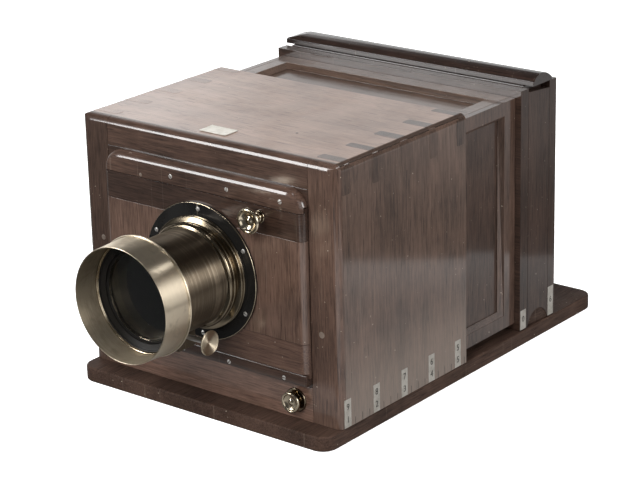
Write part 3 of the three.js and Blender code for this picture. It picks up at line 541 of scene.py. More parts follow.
# %% Copy of a node
def copy_of(node):
    piece = bpy.data.objects.new(node + "_copy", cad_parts[node].data.copy())
    bpy.context.scene.collection.objects.link(piece)
    piece.data.materials.clear()
    only(piece)
    if piece.data.has_custom_normals:
        bpy.ops.mesh.customdata_custom_splitnormals_clear()
    edit(piece)
    bpy.ops.mesh.remove_doubles(threshold=2e-6)
    bpy.ops.mesh.dissolve_limited(angle_limit=radians(0.6))
    bpy.ops.object.mode_set(mode="OBJECT")
    return piece


print("nodes that can be copied:", len(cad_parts))

# %% [markdown]
# ## Finishing a piece
# A joiner takes the sharp arris off every board, and that thin round is what catches the light
# along an edge. It could be painted on as a pale line, but then it would not move with the light.
# So it is a bevel. A finished piece takes a clear name, its material and the body that it moves
# with, and where it stands for nodes of the frame, those are hidden behind it.

# %% Arris and hand-over
FLAT_WORK, TURNED_WORK = 32, 40


def ease(piece, width, segments=2, angle=35):
    """Rounds every edge sharper than the angle, as a scraper takes the arris off a board."""
    only(piece)
    bpy.ops.object.modifier_add(type="BEVEL")
    bevel = piece.modifiers[-1]
    bevel.width = width * MM
    bevel.segments = segments
    bevel.limit_method = "ANGLE"
    bevel.angle_limit = radians(angle)
    bpy.ops.object.modifier_apply(modifier=bevel.name)


def hand_over(piece, name, body, slot, material, *nodes, smooth=FLAT_WORK):
    """smooth: the largest angle between faces, in degrees, that still looks round."""
    only(piece)
    bpy.ops.object.transform_apply(location=True, rotation=True, scale=True)
    bpy.ops.object.shade_smooth_by_angle(angle=radians(smooth))
    bpy.ops.object.modifier_add(type="WEIGHTED_NORMAL")
    piece.modifiers[-1].keep_sharp = True
    bpy.ops.object.modifier_apply(modifier=piece.modifiers[-1].name)
    piece.name = name
    piece.data.name = name
    if material and not piece.data.materials:
        piece.data.materials.append(material)
    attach(piece, body)
    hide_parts(*nodes)
    return piece


print("angles that look round:", FLAT_WORK, TURNED_WORK)

# %% [markdown]
# ## Plain boards
# Floors, rails, panels, clamps and the screen's frame have no shape beyond their outline and
# arris. Modelling them one by one would be the same three lines over and over, so they stand in a
# list with body, kind of wood and width of the arris in mm.

# %% Boards
BOARDS = [
    ("outer_floor", "base", "mahogany", INNER_X, 0.3),
    ("front_bottom_rail", "base", "mahogany_light", LOW_RAIL, 0.3),
    ("front_board", "base", "mahogany", CLAMP, 0.2),
    ("lower_bar", "base", "mahogany_dark", CLAMP, 0.5),
    ("lens_board", "lens_panel", "mahogany_light", LENS_BOARD, 0.15),
    ("board_clamp_upper", "lens_panel", "mahogany_dark", CLAMP, 0.15),
    ("board_clamp_lower", "lens_panel", "mahogany_dark", CLAMP_LOW_LIT, 0.15),
    ("inner_top_panel", "rear_box", "mahogany_light", PANEL_X, 0.3),
    ("inner_floor_panel", "rear_box", "mahogany_light", PANEL_X, 0.3),
    ("inner_left_panel", "rear_box", "mahogany_light", PANEL_Z, 0.3),
    ("inner_right_panel", "rear_box", "mahogany_light", PANEL_Z, 0.3),
    ("rear_floor", "rear_box", "mahogany", INNER_X, 0.3),
    ("screen_frame", "screen", "mahogany_dark", CAP_WOOD, 0.4),
    ("glass_bead", "screen", "mahogany_dark", CAP_WOOD, 0.4),
    ("screen_cap", "screen", "mahogany_dark", CAP_WOOD, 0.5),
]
for node, body, slot, wood, arris in BOARDS:
    board = copy_of(node)
    ease(board, arris)
    hand_over(board, node + "_board", body, slot, wood, node)
print("boards:", len(BOARDS))

# %% [markdown]
# ### Round edges of the outer box
# The long upper edges of the outer box are rounded to 4 mm, and the round goes across the mitre,
# half on the top board and half on the side. Two bevels would leave a step where the boards meet.
# So the waste is made as a solid, a square bar with a rod taken out of it, and cut off both.

# %% Blocks and cuts
def block(low, high):
    bpy.ops.object.select_all(action="DESELECT")
    middle = (Vector(low) + Vector(high)) / 2
    bpy.ops.mesh.primitive_cube_add(size=1, location=middle)
    piece = bpy.context.object
    piece.scale = Vector(high) - Vector(low)
    bpy.ops.object.transform_apply(location=True, rotation=True, scale=True)
    return piece


def cut_with(piece, cutter):
    """Takes the cutter's shape out of the piece and throws the cutter away."""
    only(piece)
    bpy.ops.object.modifier_add(type="BOOLEAN")
    knife = piece.modifiers[-1]
    knife.operation = "DIFFERENCE"
    knife.object = cutter
    bpy.ops.object.modifier_apply(modifier=knife.name)
    bpy.data.objects.remove(cutter)


print("blocks and cuts ready")

# %% Outer box
ROUND = 4.0
outer_low, outer_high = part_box("outer_side_right")
outer_half, outer_top, box_front = outer_high.x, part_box("outer_top")[1].z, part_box("front_top_rail")[0].y


def round_edge(piece, way, proud=0.0):
    """Cuts the round along the upper edge on the left (way -1) or on the right (way 1)."""
    edge_x, edge_z, radius = way * (outer_half + proud * MM), outer_top + proud * MM, ROUND * MM
    axis_x, axis_z = edge_x - way * radius, edge_z - radius
    bar = block((min(axis_x, edge_x + way * MM), box_front - MM, axis_z),
                (max(axis_x, edge_x + way * MM), outer_high.y + MM, edge_z + MM))
    middle = (axis_x, (box_front + outer_high.y) / 2, axis_z)
    bpy.ops.object.select_all(action="DESELECT")
    bpy.ops.mesh.primitive_cylinder_add(vertices=64, radius=radius, depth=0.2, rotation=(pi / 2, 0, 0),
                                        location=middle)
    rod = bpy.context.object
    bpy.ops.object.transform_apply(location=True, rotation=True, scale=True)
    cut_with(bar, rod)
    cut_with(piece, bar)


for node, ways, slot, wood in (("outer_top", (-1, 1), "mahogany_light", TOP_WOOD),
                               ("outer_side_left", (-1,), "mahogany", SIDE_WOOD),
                               ("outer_side_right", (1,), "mahogany", SIDE_WOOD)):
    board = copy_of(node)
    for way in ways:
        round_edge(board, way)
    ease(board, 0.08, 1)
    hand_over(board, node + "_board", "base", slot, wood, node)
print("outer box, half width and height in mm:", round(outer_half / MM, 1), round(outer_top / MM, 1))

# %% [markdown]
# ### Frames of the inner box
# Each wall of the inner box is a frame round a panel, and the frame's inner edge is moulded: a
# fine step, and then a slope down to the panel. The frame's copy already has a row of points
# where the moulding starts and one where it ends. A bevel would round both, so the two rows are
# moved to their depths below the frame's face instead.

# %% Inner frames
STEP, SLOPE = 0.3, 3.0
ON_FACE, MOULDED = 0.05, (0.5, 1.3)
for node, axis, way, wood in (("inner_top_frame", 2, 1, INNER_X), ("inner_floor_frame", 2, -1, INNER_X),
                              ("inner_left_frame", 0, -1, INNER_Z), ("inner_right_frame", 0, 1, INNER_Z)):
    frame_piece = copy_of(node)
    low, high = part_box(node)
    outer_face = high[axis] if way > 0 else low[axis]
    others = [k for k in (0, 1, 2) if k != axis]
    points = frame_piece.data.vertices
    depth = {v.index: way * (outer_face - v.co[axis]) / MM for v in points}
    spot = {v.index: tuple(round(v.co[k] / MM, 1) for k in others) for v in points}
    rim = {spot[i] for i in depth if depth[i] < ON_FACE}
    for vertex in points:
        if MOULDED[0] < depth[vertex.index] < MOULDED[1]:
            new_depth = STEP if spot[vertex.index] in rim else SLOPE
            vertex.co[axis] = outer_face - way * new_depth * MM
    ease(frame_piece, 0.3)
    hand_over(frame_piece, node + "_board", "rear_box", "mahogany", wood, node)
print("inner frames, step and slope in mm:", STEP, SLOPE)

# %% [markdown]
# ### Rear frame
# Front board, side boards and back frame are flush and tightly joined. A thumb recess is cut into
# the foot of each side board, deepest at the front, and its bottom is bare, dull wood. The recess
# is in the frame already, but level. Cutting a new one would leave a doubled edge, so the points
# of its bottom are tilted, and its faces take a second material.

# %% Rear side boards
RECESS, RECESS_SLOPE = 1.25, 0.075
RECESS_TALL, RECESS_HALF = 13, 10.6


def paint(piece, material, test):
    """Faces that a test picks by their middle and their normal take a further material."""
    piece.data.materials.append(material)
    for face in piece.data.polygons:
        if test(face.center, face.normal):
            face.material_index = len(piece.data.materials) - 1


for side, way in (("left", -1), ("right", 1)):
    node = "rear_side_" + side
    board = copy_of(node)
    low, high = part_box(node)
    outer_face = high.x if way > 0 else low.x
    middle_y = (low.y + high.y) / 2
    for vertex in board.data.vertices:
        if 1.9 < way * (outer_face - vertex.co.x) / MM < 2.1:
            vertex.co.x = outer_face - way * (RECESS * MM - RECESS_SLOPE * (vertex.co.y - middle_y))
    ease(board, 0.12)
    board.data.materials.append(REAR_Z)
    paint(board, BARE_WOOD, lambda c, n: low.x + 0.2 * MM < c.x < high.x - 0.15 * MM
          and c.z < low.z + RECESS_TALL * MM and abs(c.y - middle_y) < RECESS_HALF * MM and n.x * way > -0.5)
    hand_over(board, node + "_board", "rear_box", "mahogany", None, node)
print("recess, mm deep:", RECESS)

# %% Rear front board and back frame
for node, wood, slot in (("rear_front_board", CLAMP, "mahogany_dark"),
                         ("rear_back_frame", REAR_Z, "mahogany")):
    board = copy_of(node)
    ease(board, 0.12)
    board.data.materials.append(wood)
    paint(board, REAR_Z, lambda c, n: abs(n.x) > 0.5)
    hand_over(board, node + "_board", "rear_box", slot, None, node)
print("rear frame boards:", 4)

# %% [markdown]
# ## Baseboard
# The whole camera stands on one board with rounded corners. Its outline could be drawn as a curve
# and raised, but a block is quicker: its four upright edges are bevelled by the corner's radius,
# and then its top and bottom rims by the arris.

# %% Baseboard
BASE_CORNER = 9


def bevel_edges(piece, width, segments, test):
    """Rounds the edges that the test picks, with the width in mm."""
    edit(piece, edges=test)
    bpy.ops.mesh.bevel(offset=width * MM, segments=segments)
    bpy.ops.object.mode_set(mode="OBJECT")


low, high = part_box("baseboard")
base = block(low, high)
bevel_edges(base, BASE_CORNER, 12, lambda a, b: abs(a.z - b.z) > 5 * MM)
ease(base, 1.0, 3, 50)
hand_over(base, "baseboard_body", "base", "mahogany_dark", BASE_WOOD, "baseboard")
print("baseboard, mm:", [round(side / MM, 1) for side in high - low])

# %% [markdown]
# ## Front frame
# Two stiles stand at the sides and a rail joins them at the top. Their outer edges are rounded to
# 4 mm, and the round runs along the top and turns the corner, where it catches a long highlight.
# An arris bevel on the whole block would round the inner edges too, so the outer edges alone are
# picked by their place. The stile's long sides are divided first, to keep its faces short.

# %% Stiles
NEAR = 0.1 * MM


def divide(piece, cuts, **picked):
    """Subdivides the edges or the faces that a test picks."""
    edit(piece, **picked)
    bpy.ops.mesh.subdivide(number_cuts=cuts)
    bpy.ops.object.mode_set(mode="OBJECT")


for side, node, wood in ((-1, "front_stile_left", FRONT_Z), (1, "front_stile_right", FRONT_RIGHT_LIT)):
    low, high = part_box(node)
    stile = block(low, high)
    outer = high.x if side > 0 else low.x
    divide(stile, 2, edges=lambda a, b: abs(a.x - b.x) > 5 * MM)
    divide(stile, 11, edges=lambda a, b: abs(a.z - b.z) > 50 * MM)
    bevel_edges(stile, ROUND, 10, lambda a, b: (a.y + b.y) / 2 < low.y + NEAR
                and (abs((a.x + b.x) / 2 - outer) < NEAR or (a.z + b.z) / 2 > high.z - NEAR))
    round_edge(stile, side)
    ease(stile, 0.08, 1, 50)
    hand_over(stile, node + "_board", "base", "mahogany_dark", wood, node)
print("stiles, mm tall:", round((high.z - low.z) / MM, 1))

# %% Top rail
low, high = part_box("front_top_rail")
rail = block(low, high)
bevel_edges(rail, ROUND, 10, lambda a, b: (a.y + b.y) / 2 < low.y + NEAR and (a.z + b.z) / 2 > high.z - NEAR)
ease(rail, 0.08, 1, 50)
hand_over(rail, "front_top_rail_board", "base", "mahogany_dark", FRONT_X, "front_top_rail")
print("front frame made, round in mm:", ROUND)

# %% [markdown]
# ## Upper bar
# The bar's two top corners are rounded in the front view, and then its front edge is rounded all
# the way round the outline. Its lower edge stays square, because the lens board slides under it.
# One bevel of the whole bar could not give two sizes of round, so there are two bevels, the large
# one first. The groove behind the bar is cut last.

# %% Upper bar
BAR_CORNER = 11.5
LEDGE_DEEP, LEDGE_TALL = 2.8, 3.0
low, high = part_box("upper_bar")
bar = block(low, high)
bevel_edges(bar, BAR_CORNER, 14, lambda a, b: abs(a.y - b.y) > 1 * MM and (a.z + b.z) / 2 > high.z - NEAR)
divide(bar, 23, edges=lambda a, b: abs(a.x - b.x) > 50 * MM)
bevel_edges(bar, ROUND, 8, lambda a, b: max(a.y, b.y) < low.y + NEAR and (a.z + b.z) / 2 > low.z + NEAR
            and abs(a.z - b.z) < 5 * MM)
ledge = block((low.x - MM, high.y - LEDGE_DEEP * MM, low.z - MM),
              (high.x + MM, high.y + MM, low.z + LEDGE_TALL * MM))
cut_with(bar, ledge)
hand_over(bar, "upper_bar_board", "base", "mahogany_dark", FRONT_X, "upper_bar")
print("upper bar faces:", len(bar.data.polygons))

# %% [markdown]
# ## Turned work
# The rings of the lens, the knobs and the screws were all made on a lathe. A stack of cylinders
# would give the sizes, but no lips and no hollows. So each is made as on the lathe: it starts as
# one point, which is extruded along the outline of the section, as the tool runs along the work,
# and the outline is spun once round the axis.

# %% Turned piece
def turned(outline, centre, axis="Y", steps=96):
    """outline: (radius, place along the axis) in mm. It closes on itself, or both ends are on the axis."""
    def point(radius, along):
        if axis == "Y":
            return Vector((centre[0] + radius, along, centre[1])) * MM
        return Vector((along, centre[0], centre[1] + radius)) * MM

    points = [point(*p) for p in outline]
    bpy.ops.object.select_all(action="DESELECT")
    bpy.ops.mesh.primitive_plane_add(size=0.001, location=(0, 0, 0))
    piece = bpy.context.object
    edit(piece)
    bpy.ops.mesh.select_mode(type="VERT")
    bpy.ops.mesh.select_all(action="SELECT")
    bpy.ops.mesh.merge(type="CENTER")
    bpy.ops.mesh.select_all(action="SELECT")
    bpy.ops.transform.translate(value=points[0])
    closed = outline[0][0] > 0 or outline[-1][0] > 0
    for start, end in zip(points, points[1:] + (points[:1] if closed else [])):
        bpy.ops.mesh.extrude_region_move(TRANSFORM_OT_translate={"value": end - start})
    bpy.ops.mesh.select_all(action="SELECT")
    bpy.ops.mesh.remove_doubles(threshold=1e-6)
    bpy.ops.mesh.select_all(action="SELECT")
    line = (0, 1, 0) if axis == "Y" else (1, 0, 0)
    bpy.ops.mesh.spin(steps=steps, angle=2 * pi, center=point(0, 0), axis=line)
    bpy.ops.mesh.select_all(action="SELECT")
    bpy.ops.mesh.remove_doubles(threshold=1e-6)
    bpy.ops.mesh.normals_make_consistent(inside=False)
    bpy.ops.object.mode_set(mode="OBJECT")
    return piece


def arc(centre_radius, centre_along, radius, start, end, count=6):
    """Points on a quarter or half round of an outline, angles in degrees."""
    turn = [radians(start + (end - start) * i / count) for i in range(count + 1)]
    return [(centre_radius + radius * cos(a), centre_along + radius * sin(a)) for a in turn]


print("lathe ready")

# %% [markdown]
# ## Lens
# The lens is a hood, a front cell with its glass, a sleeve and a tube that slides in it, on a
# round flange. All of them share one axis. Their places could be typed in, but then they would
# drift from the frame, so they are read off the nodes' boxes.

# %% Lens measures
def ring_box(node):
    """Front, back and outer radius of a ring on the lens axis, in mm."""
    low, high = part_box(node)
    return low.y / MM, high.y / MM, high.x / MM


low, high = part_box("lens_hood")
AXIS = (0.0, (low.z + high.z) / 2 / MM)
SLEEVE_RADIUS = 27.0
hood_front, hood_back, bead_radius = ring_box("lens_hood")
cell_front, cell_back, cell_radius = ring_box("front_cell")
tube_front, tube_back, tube_radius = ring_box("lens_tube")
tube_bore = tube_radius - 1.6


def from_axis(point):
    """Distance from the lens axis, in mm."""
    return Vector((point.x, 0, point.z - AXIS[1] * MM)).length / MM


print("lens axis height, mm:", round(AXIS[1], 2))

# %% [markdown]
# ### Hood
# A thin brass tube keeps stray light off the glass. It widens a little towards its beaded back
# edge, and its mouth is a plain turned lip. A cylinder with a Solidify modifier would have a flat
# lip and no bead, so the wall's whole section is drawn: the bore, the lip as a small arc, the
# outside, a groove and the half-round bead. Outlines here run as (radius, place along Y) in mm.

# %% Hood
bore = cell_radius + 0.2
hood = turned(
    [(bore, hood_back), (bore, hood_front + 0.25)]
    + arc(bore + 0.3, hood_front + 0.3, 0.3, 180, 360, 6)
    + [(bore + 0.62, hood_front + 3), (bore + 1.15, hood_back - 1.9), (bore + 1.0, hood_back - 1.6)]
    + [(bore + 1.0, hood_back - 1.35)]
    + arc(bead_radius - 0.6, hood_back - 0.62, 0.6, -110, 80, 8)
    + [(bead_radius - 1.0, hood_back)], AXIS, steps=128)
hood.data.materials.append(HOOD_BRASS)
paint(hood, HOOD_INSIDE, lambda c, n: from_axis(c) < bore + 0.1)
hand_over(hood, "hood_shell", "hood", "brass_bright", None, "lens_hood", smooth=TURNED_WORK)
print("hood bore, mm:", round(2 * bore, 1))

# %% [markdown]
# ### Front cell, glass and retaining ring
# Looking into the hood one sees the cell's bright edge, a black step, a second bright ring that
# holds the glass, and then the dark glass itself. These could be painted rings on a disc, but
# they stand at different depths and shade each other. So each is turned, and faces near the axis
# are blackened. The glass bulges forwards, so that it mirrors the room small and curved.

# %% Front cell
glass_front, glass_back, glass_radius = ring_box("front_glass")
cell = turned(
    arc(cell_radius - 0.5, cell_front + 0.5, 0.5, 0, -180, 6)
    + [(cell_radius - 1.3, cell_front + 1.0), (cell_radius - 1.9, cell_front + 1.2)]
    + [(cell_radius - 1.9, cell_front + 1.9), (cell_radius - 2.9, cell_front + 2.2)]
    + [(glass_radius + 0.25, cell_front + 2.6), (glass_radius + 0.2, glass_back + 0.2)]
    + [(tube_bore, glass_back + 0.2), (tube_bore, tube_front - 0.2), (tube_radius + 0.2, tube_front - 0.2)]
    + [(tube_radius + 0.2, cell_back), (SLEEVE_RADIUS + 0.6, cell_back)]
    + [(SLEEVE_RADIUS + 0.6, cell_back - 9.6), (cell_radius, cell_back - 9.6)], AXIS, steps=128)
cell.data.materials.append(RING_BRASS)
paint(cell, MATT_BLACK, lambda c, n: from_axis(c) < cell_radius - 1.2)
paint(cell, BARREL_BRASS, lambda c, n: c.y > (cell_back - 9.7) * MM and from_axis(c) > SLEEVE_RADIUS)
hand_over(cell, "front_cell_shell", "lens_barrel", "brass_bright", None, "front_cell", smooth=TURNED_WORK)
print("front cell across, mm:", round(2 * cell_radius, 1))

# %% Front glass
bulge = 2.6
front_glass = turned(
    [(0, glass_back)] + [(glass_radius * i / 14, glass_front + bulge * (i / 14) ** 2) for i in range(15)]
    + [(glass_radius, glass_back)], AXIS, steps=96)
hand_over(front_glass, "front_lens", "lens_barrel", "clear_glass", LENS_GLASS, "front_glass",
          smooth=TURNED_WORK)
print("front glass across, mm:", round(2 * glass_radius, 1))

# %% Retaining ring
ring_front, ring_back, ring_radius = ring_box("glass_retainer")
lip = ring_radius - 1.2
retainer = turned([(lip - 0.2, ring_back - 0.25)] + arc(lip, ring_front + 1.1, 0.25, -180, -20, 5)
                  + [(lip + 0.5, ring_front + 1.1), (ring_radius - 0.3, ring_front + 0.35)]
                  + [(ring_radius, ring_front + 0.5), (ring_radius, ring_back)], AXIS, steps=128)
retainer.data.materials.append(RING_BRASS)
paint(retainer, MATT_BLACK, lambda c, n: from_axis(c) > lip + 0.3)
hand_over(retainer, "retaining_ring", "lens_barrel", "brass_bright", None, "glass_retainer",
          smooth=TURNED_WORK)
print("retaining ring across, mm:", round(2 * ring_radius, 1))

# %% [markdown]
# ### Tube, rear cell and rear glass
# The tube slides in the sleeve and carries both cells. Its bore is blackened against stray light.
# The tube is a plain ring, so a copy of its node with eased edges is enough. The rear cell has a
# seat for its glass and is turned like the front one.

# %% Tube
tube = copy_of("lens_tube")
ease(tube, 0.15)
tube.data.materials.append(BARREL_BRASS)
paint(tube, MATT_BLACK, lambda c, n: from_axis(c) < tube_bore + 0.3)
hand_over(tube, "sliding_tube", "lens_barrel", "brass_lacquered", None, "lens_tube")
print("tube bore, mm:", round(2 * tube_bore, 1))

# %% Rear cell and rear glass
rear_start, rear_end, _ = ring_box("rear_cell")
seat = tube_radius - 2.4
rear_cell = turned(
    [(seat - 1.4, rear_start), (tube_radius, rear_start), (tube_radius, rear_end - 1.5)]
    + arc(tube_radius - 0.6, rear_end - 0.6, 0.6, 0, 90, 4)
    + [(seat, rear_end), (seat, rear_start + 1.4), (seat - 1.4, rear_start + 1.4)], AXIS, steps=96)
rear_cell.data.materials.append(BARREL_BRASS)
paint(rear_cell, MATT_BLACK, lambda c, n: from_axis(c) < seat + 0.4)
hand_over(rear_cell, "rear_cell_shell", "lens_barrel", "brass_lacquered", None, "rear_cell",
          smooth=TURNED_WORK)

flat, crown, rear_radius = ring_box("rear_glass")
rear_glass = turned(
    [(0, flat), (rear_radius, flat)]
    + [(rear_radius * i / 10, crown - 1.6 * (i / 10) ** 2) for i in range(10, -1, -1)], AXIS, steps=96)
hand_over(rear_glass, "rear_lens", "lens_barrel", "clear_glass", LENS_GLASS, "rear_glass", smooth=TURNED_WORK)
print("rear glass across, mm:", round(2 * rear_radius, 1))

# %% [markdown]
# ### Sleeve and flange
# The sleeve is the fixed barrel. Behind its plain front it has a half-round bead, a neck and a
# collar against the black flange, and a slot underneath lets the pinion reach the rack. The
# mouldings could be separate rings, but the real one was turned from one piece, and so is this.
# Only the slot can't be turned, so it is cut with a block.

# %% Sleeve
sleeve_front, sleeve_back, _ = ring_box("lens_sleeve")
flange_front, flange_back, flange_radius = ring_box("lens_flange")
inside = SLEEVE_RADIUS - 1.5
collar = 31.8
foot = flange_front - 0.2
sleeve = turned(
    [(inside, sleeve_back), (SLEEVE_RADIUS, sleeve_back), (SLEEVE_RADIUS, foot), (collar - 0.2, foot)]
    + arc(collar - 0.5, foot - 0.6, 0.5, 60, -60, 4) + [(collar - 0.9, foot - 1.3)]
    + arc(collar - 0.6, foot - 2.4, 0.6, 70, -70, 5) + [(collar - 1.6, foot - 3.4)]
    + [(collar - 3.2, foot - 3.9), (collar - 3.2, foot - 4.6)]
    + arc(collar - 3.2, foot - 5.1, 0.5, 80, -60, 4)
    + [(collar - 3.2, foot - 5.6)]
    + arc(SLEEVE_RADIUS + 0.5, foot - 7.4, 1.8, 80, -90, 10)
    + [(SLEEVE_RADIUS, foot - 9.6), (SLEEVE_RADIUS, sleeve_front + 0.5)]
    + arc(SLEEVE_RADIUS - 0.5, sleeve_front + 0.5, 0.5, 0, -90, 4)
    + [(inside, sleeve_front)], AXIS, steps=128)
rack_low, rack_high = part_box("focus_rack")
slot_cutter = block((rack_low.x - 0.4 * MM, (sleeve_front - 1) * MM, (AXIS[1] - SLEEVE_RADIUS - 1) * MM),
                    (rack_high.x + 0.4 * MM, rack_high.y + 0.4 * MM, (AXIS[1] - inside + 1) * MM))
cut_with(sleeve, slot_cutter)
sleeve.data.materials.append(BARREL_BRASS)
paint(sleeve, COLLAR_BRASS,
      lambda c, n: (foot - 9.4) * MM < c.y < (foot - 0.1) * MM and from_axis(c) > inside + 0.5)
hand_over(sleeve, "lens_barrel_sleeve", "lens_panel", "brass_lacquered", None, "lens_sleeve",
          smooth=TURNED_WORK)
print("sleeve, mm:", round(sleeve_back - sleeve_front, 1), "long")

# %% Flange
flange = turned(
    [(SLEEVE_RADIUS + 0.2, flange_front), (flange_radius - 0.4, flange_front)]
    + arc(flange_radius - 0.35, flange_front + 0.35, 0.35, -80, 0, 4)
    + [(flange_radius, flange_back), (SLEEVE_RADIUS + 0.2, flange_back)], AXIS, steps=128)
flange.data.materials.append(BLACK)
paint(flange, RING_BRASS,
      lambda c, n: from_axis(c) > flange_radius - 0.25 and c.y < (flange_front + 0.4) * MM)
hand_over(flange, "flange_ring", "lens_panel", "black_lacquer", None, "lens_flange", smooth=TURNED_WORK)
print("flange across, mm:", round(2 * flange_radius, 1))

# %% [markdown]
# ### Screws
# Six screws hold the flange. Each has a low round head with a slot, and no two slots point the
# same way. A head could be a disc with a painted line, but a real slot catches the light on one
# wall. So one plain head is turned and copied, each copy with its own mesh, and a thin block then
# cuts the slot of each at its own angle.

# %% Screw head, copies and slots
def place(x, y, z):
    """A point given in mm."""
    return Vector((x * MM, y * MM, z * MM))


def screw_head(radius, rise=0.3):
    """A round head without its slot, facing -Y with its top at the origin; sizes in mm."""
    return turned([(0, 1.2), (radius, 1.2), (radius, rise), (radius * 0.8, rise * 0.35),
                   (radius * 0.4, 0.05), (0, 0)], (0, 0), steps=24)


def copied(pattern, where):
    """A copy with its own mesh, moved from the origin to its place."""
    twin = bpy.data.objects.new(pattern.name, pattern.data.copy())
    bpy.context.scene.collection.objects.link(twin)
    twin.data.transform(Matrix.Translation(where))
    return twin


def slotted(pattern, where, radius, turn):
    """A copy of a plain head in its place, its slot turned round Y."""
    head = copied(pattern, where)
    wide = 0.14 * radius + 0.06
    slot = block(place(-2 * radius, -1, -wide), place(2 * radius, 0.45, wide))
    slot.data.transform(Matrix.Translation(where) @ Matrix.Rotation(turn, 4, "Y"))
    cut_with(head, slot)
    return head


print("screw head and slot ready")

# %% Flange screws
FLANGE_SCREW = 1.3
pattern = screw_head(FLANGE_SCREW)
for number in range(1, 7):
    node = f"flange_screw_{number}"
    low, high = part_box(node)
    where = ((low.x + high.x) / 2, low.y, (low.z + high.z) / 2)
    head = slotted(pattern, where, FLANGE_SCREW, 0.7 * number)
    hand_over(head, node + "_head", "lens_panel", "screw_steel", STEEL, node, smooth=TURNED_WORK)
bpy.data.objects.remove(pattern)
print("flange screws:", number)

# %% [markdown]
# ### Rack, pinion and focusing knob
# The box under the sleeve holds the pinion, which drives the rack on the tube. Box, pinion and
# rack are copies of their nodes, because their teeth are already there. The knob sits on the
# shaft at the right, with a dished face that was turned smooth. A flat disc would shine all over
# at once, so the hollow is drawn and spun, this time round X.

# %% Focusing drive
for node, body, slot, metal in (("pinion_box", "lens_panel", "brass_lacquered", BARREL_BRASS),
                                ("focus_pinion", "pinion", "screw_steel", STEEL),
                                ("focus_rack", "lens_barrel", "brass_bright", BARREL_BRASS)):
    part = copy_of(node)
    ease(part, 0.12)
    hand_over(part, node + "_part", body, slot, metal, node)
print("focusing drive made")

# %% Focusing knob
low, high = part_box("focus_knob")
knob_centre = ((low.y + high.y) / 2 / MM, (low.z + high.z) / 2 / MM)
radius, face, back = (high.z - low.z) / 2 / MM, high.x / MM, low.x / MM
knob = turned(
    [(0, face - 1.3), (0.5, face - 1.25), (radius * 0.5, face - 0.85), (radius - 0.9, face - 0.35)]
    + arc(radius - 0.45, face - 0.45, 0.45, 140, -60, 8)
    + [(radius - 0.8, face - 1.15), (radius * 0.55, face - 1.7), (2.9, back + 0.9), (2.6, back), (0, back)],
    knob_centre, axis="X", steps=96)
knob.data.materials.append(FACED_BRASS)
hand_over(knob, "focusing_knob", "pinion", "brass_bright", None, "focus_knob", smooth=TURNED_WORK)
print("knob across, mm:", round(2 * radius, 1))

# %% [markdown]
# ## Thumbscrews
# Two small screws with dished heads are turned by hand: one locks the lens board in its slide and
# one goes through the bottom rail. A ball on a rod would pass from afar, but the rim, the hollow
# and the button in it each mirror the lamps in their own ring. So the whole section is drawn,
# from the button over the rim and down the neck to the tip, and spun. Under each lies a washer.

# %% Outline of a thumbscrew
def thumbscrew(centre, front, radius, rim, dish, boss, seat, tip):
    """rim: radius of the rounded rim; dish: depth of the hollow; boss: height of the button in it."""
    hollow = front + dish
    return turned(
        [(0, hollow - boss), (1.0, hollow - boss * 0.85), (1.7, hollow - boss * 0.3), (2.1, hollow)]
        + [(radius * 0.42, hollow), (radius - 2.2 * rim, front + dish * 0.62)]
        + arc(radius - rim, front + rim, rim, -160, 60, 12)
        + [(radius - 1.4 * rim, front + 2.3), (3.0, front + 2.8), (2.3, front + 3.4), (2.0, seat - 1.9)]
        + arc(2.1, seat - 1.1, 0.8, -80, 80, 6)
        + [(1.7, seat - 0.2), (1.7, tip), (0, tip)], centre, steps=72)


print("thumbscrew outline ready")

# %% Thumbscrews and washers
for node, body, parent, shrink, rim, dish, boss, plate in (
        ("board_thumbscrew", "board_screw", "lens_panel", 1.0, 1.15, 2.0, 1.0, 3.6),
        ("front_thumbscrew", "front_screw", "base", 0.9, 0.85, 1.2, 0.6, 6.8)):
    low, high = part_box(node)
    centre = ((low.x + high.x) / 2 / MM, (low.z + high.z) / 2 / MM)
    washer_low, washer_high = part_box(node + "_washer")
    seat, washer_back = washer_low.y / MM, washer_high.y / MM
    radius = (high.x - low.x) / 2 / MM * shrink
    screw = thumbscrew(centre, low.y / MM, radius, rim, dish, boss, seat, high.y / MM)
    hand_over(screw, node + "_knob", body, "brass_bright", KNOB_BRASS, node, smooth=TURNED_WORK)
    washer = turned([(1.9, seat + 0.15), (plate * 0.6, seat + 0.15), (plate * 0.68, seat)]
                    + arc(plate - 0.55, seat + 0.55, 0.55, -90, 0, 5)
                    + [(plate, washer_back), (1.9, washer_back)], centre, steps=64)
    hand_over(washer, node + "_washer_ring", parent, "brass_bright", COLLAR_BRASS, node + "_washer",
              smooth=TURNED_WORK)
    print(node, "across, mm:", round(2 * radius, 1))

# %% [markdown]
# ## Screen
# The picture is focused on a pane of ground glass. A thin cube would do, but a pane of glass with
# knife-sharp edges looks like a hole. So the copy's edges are ground off by three tenths of a
# millimetre.

# %% Ground glass
pane = copy_of("ground_glass")
ease(pane, 0.3, 2)
hand_over(pane, "ground_glass_pane", "screen", "ground_glass", GROUND, "ground_glass")
print("ground glass made")

# %% [markdown]
# ## Mitre keys
# The box's corners are mitred and held by thin dark keys let in across the corner, so that one
# sees a short bar on the top and a shorter one on the side. They could be painted on, but their
# ends are a little proud and soft. Each key is two blocks with rounded ends, joined by a block at
# the corner, and the round edge of the box is then cut from it too. The left side has the same
# keys mirrored, paler and half lost in the wood.

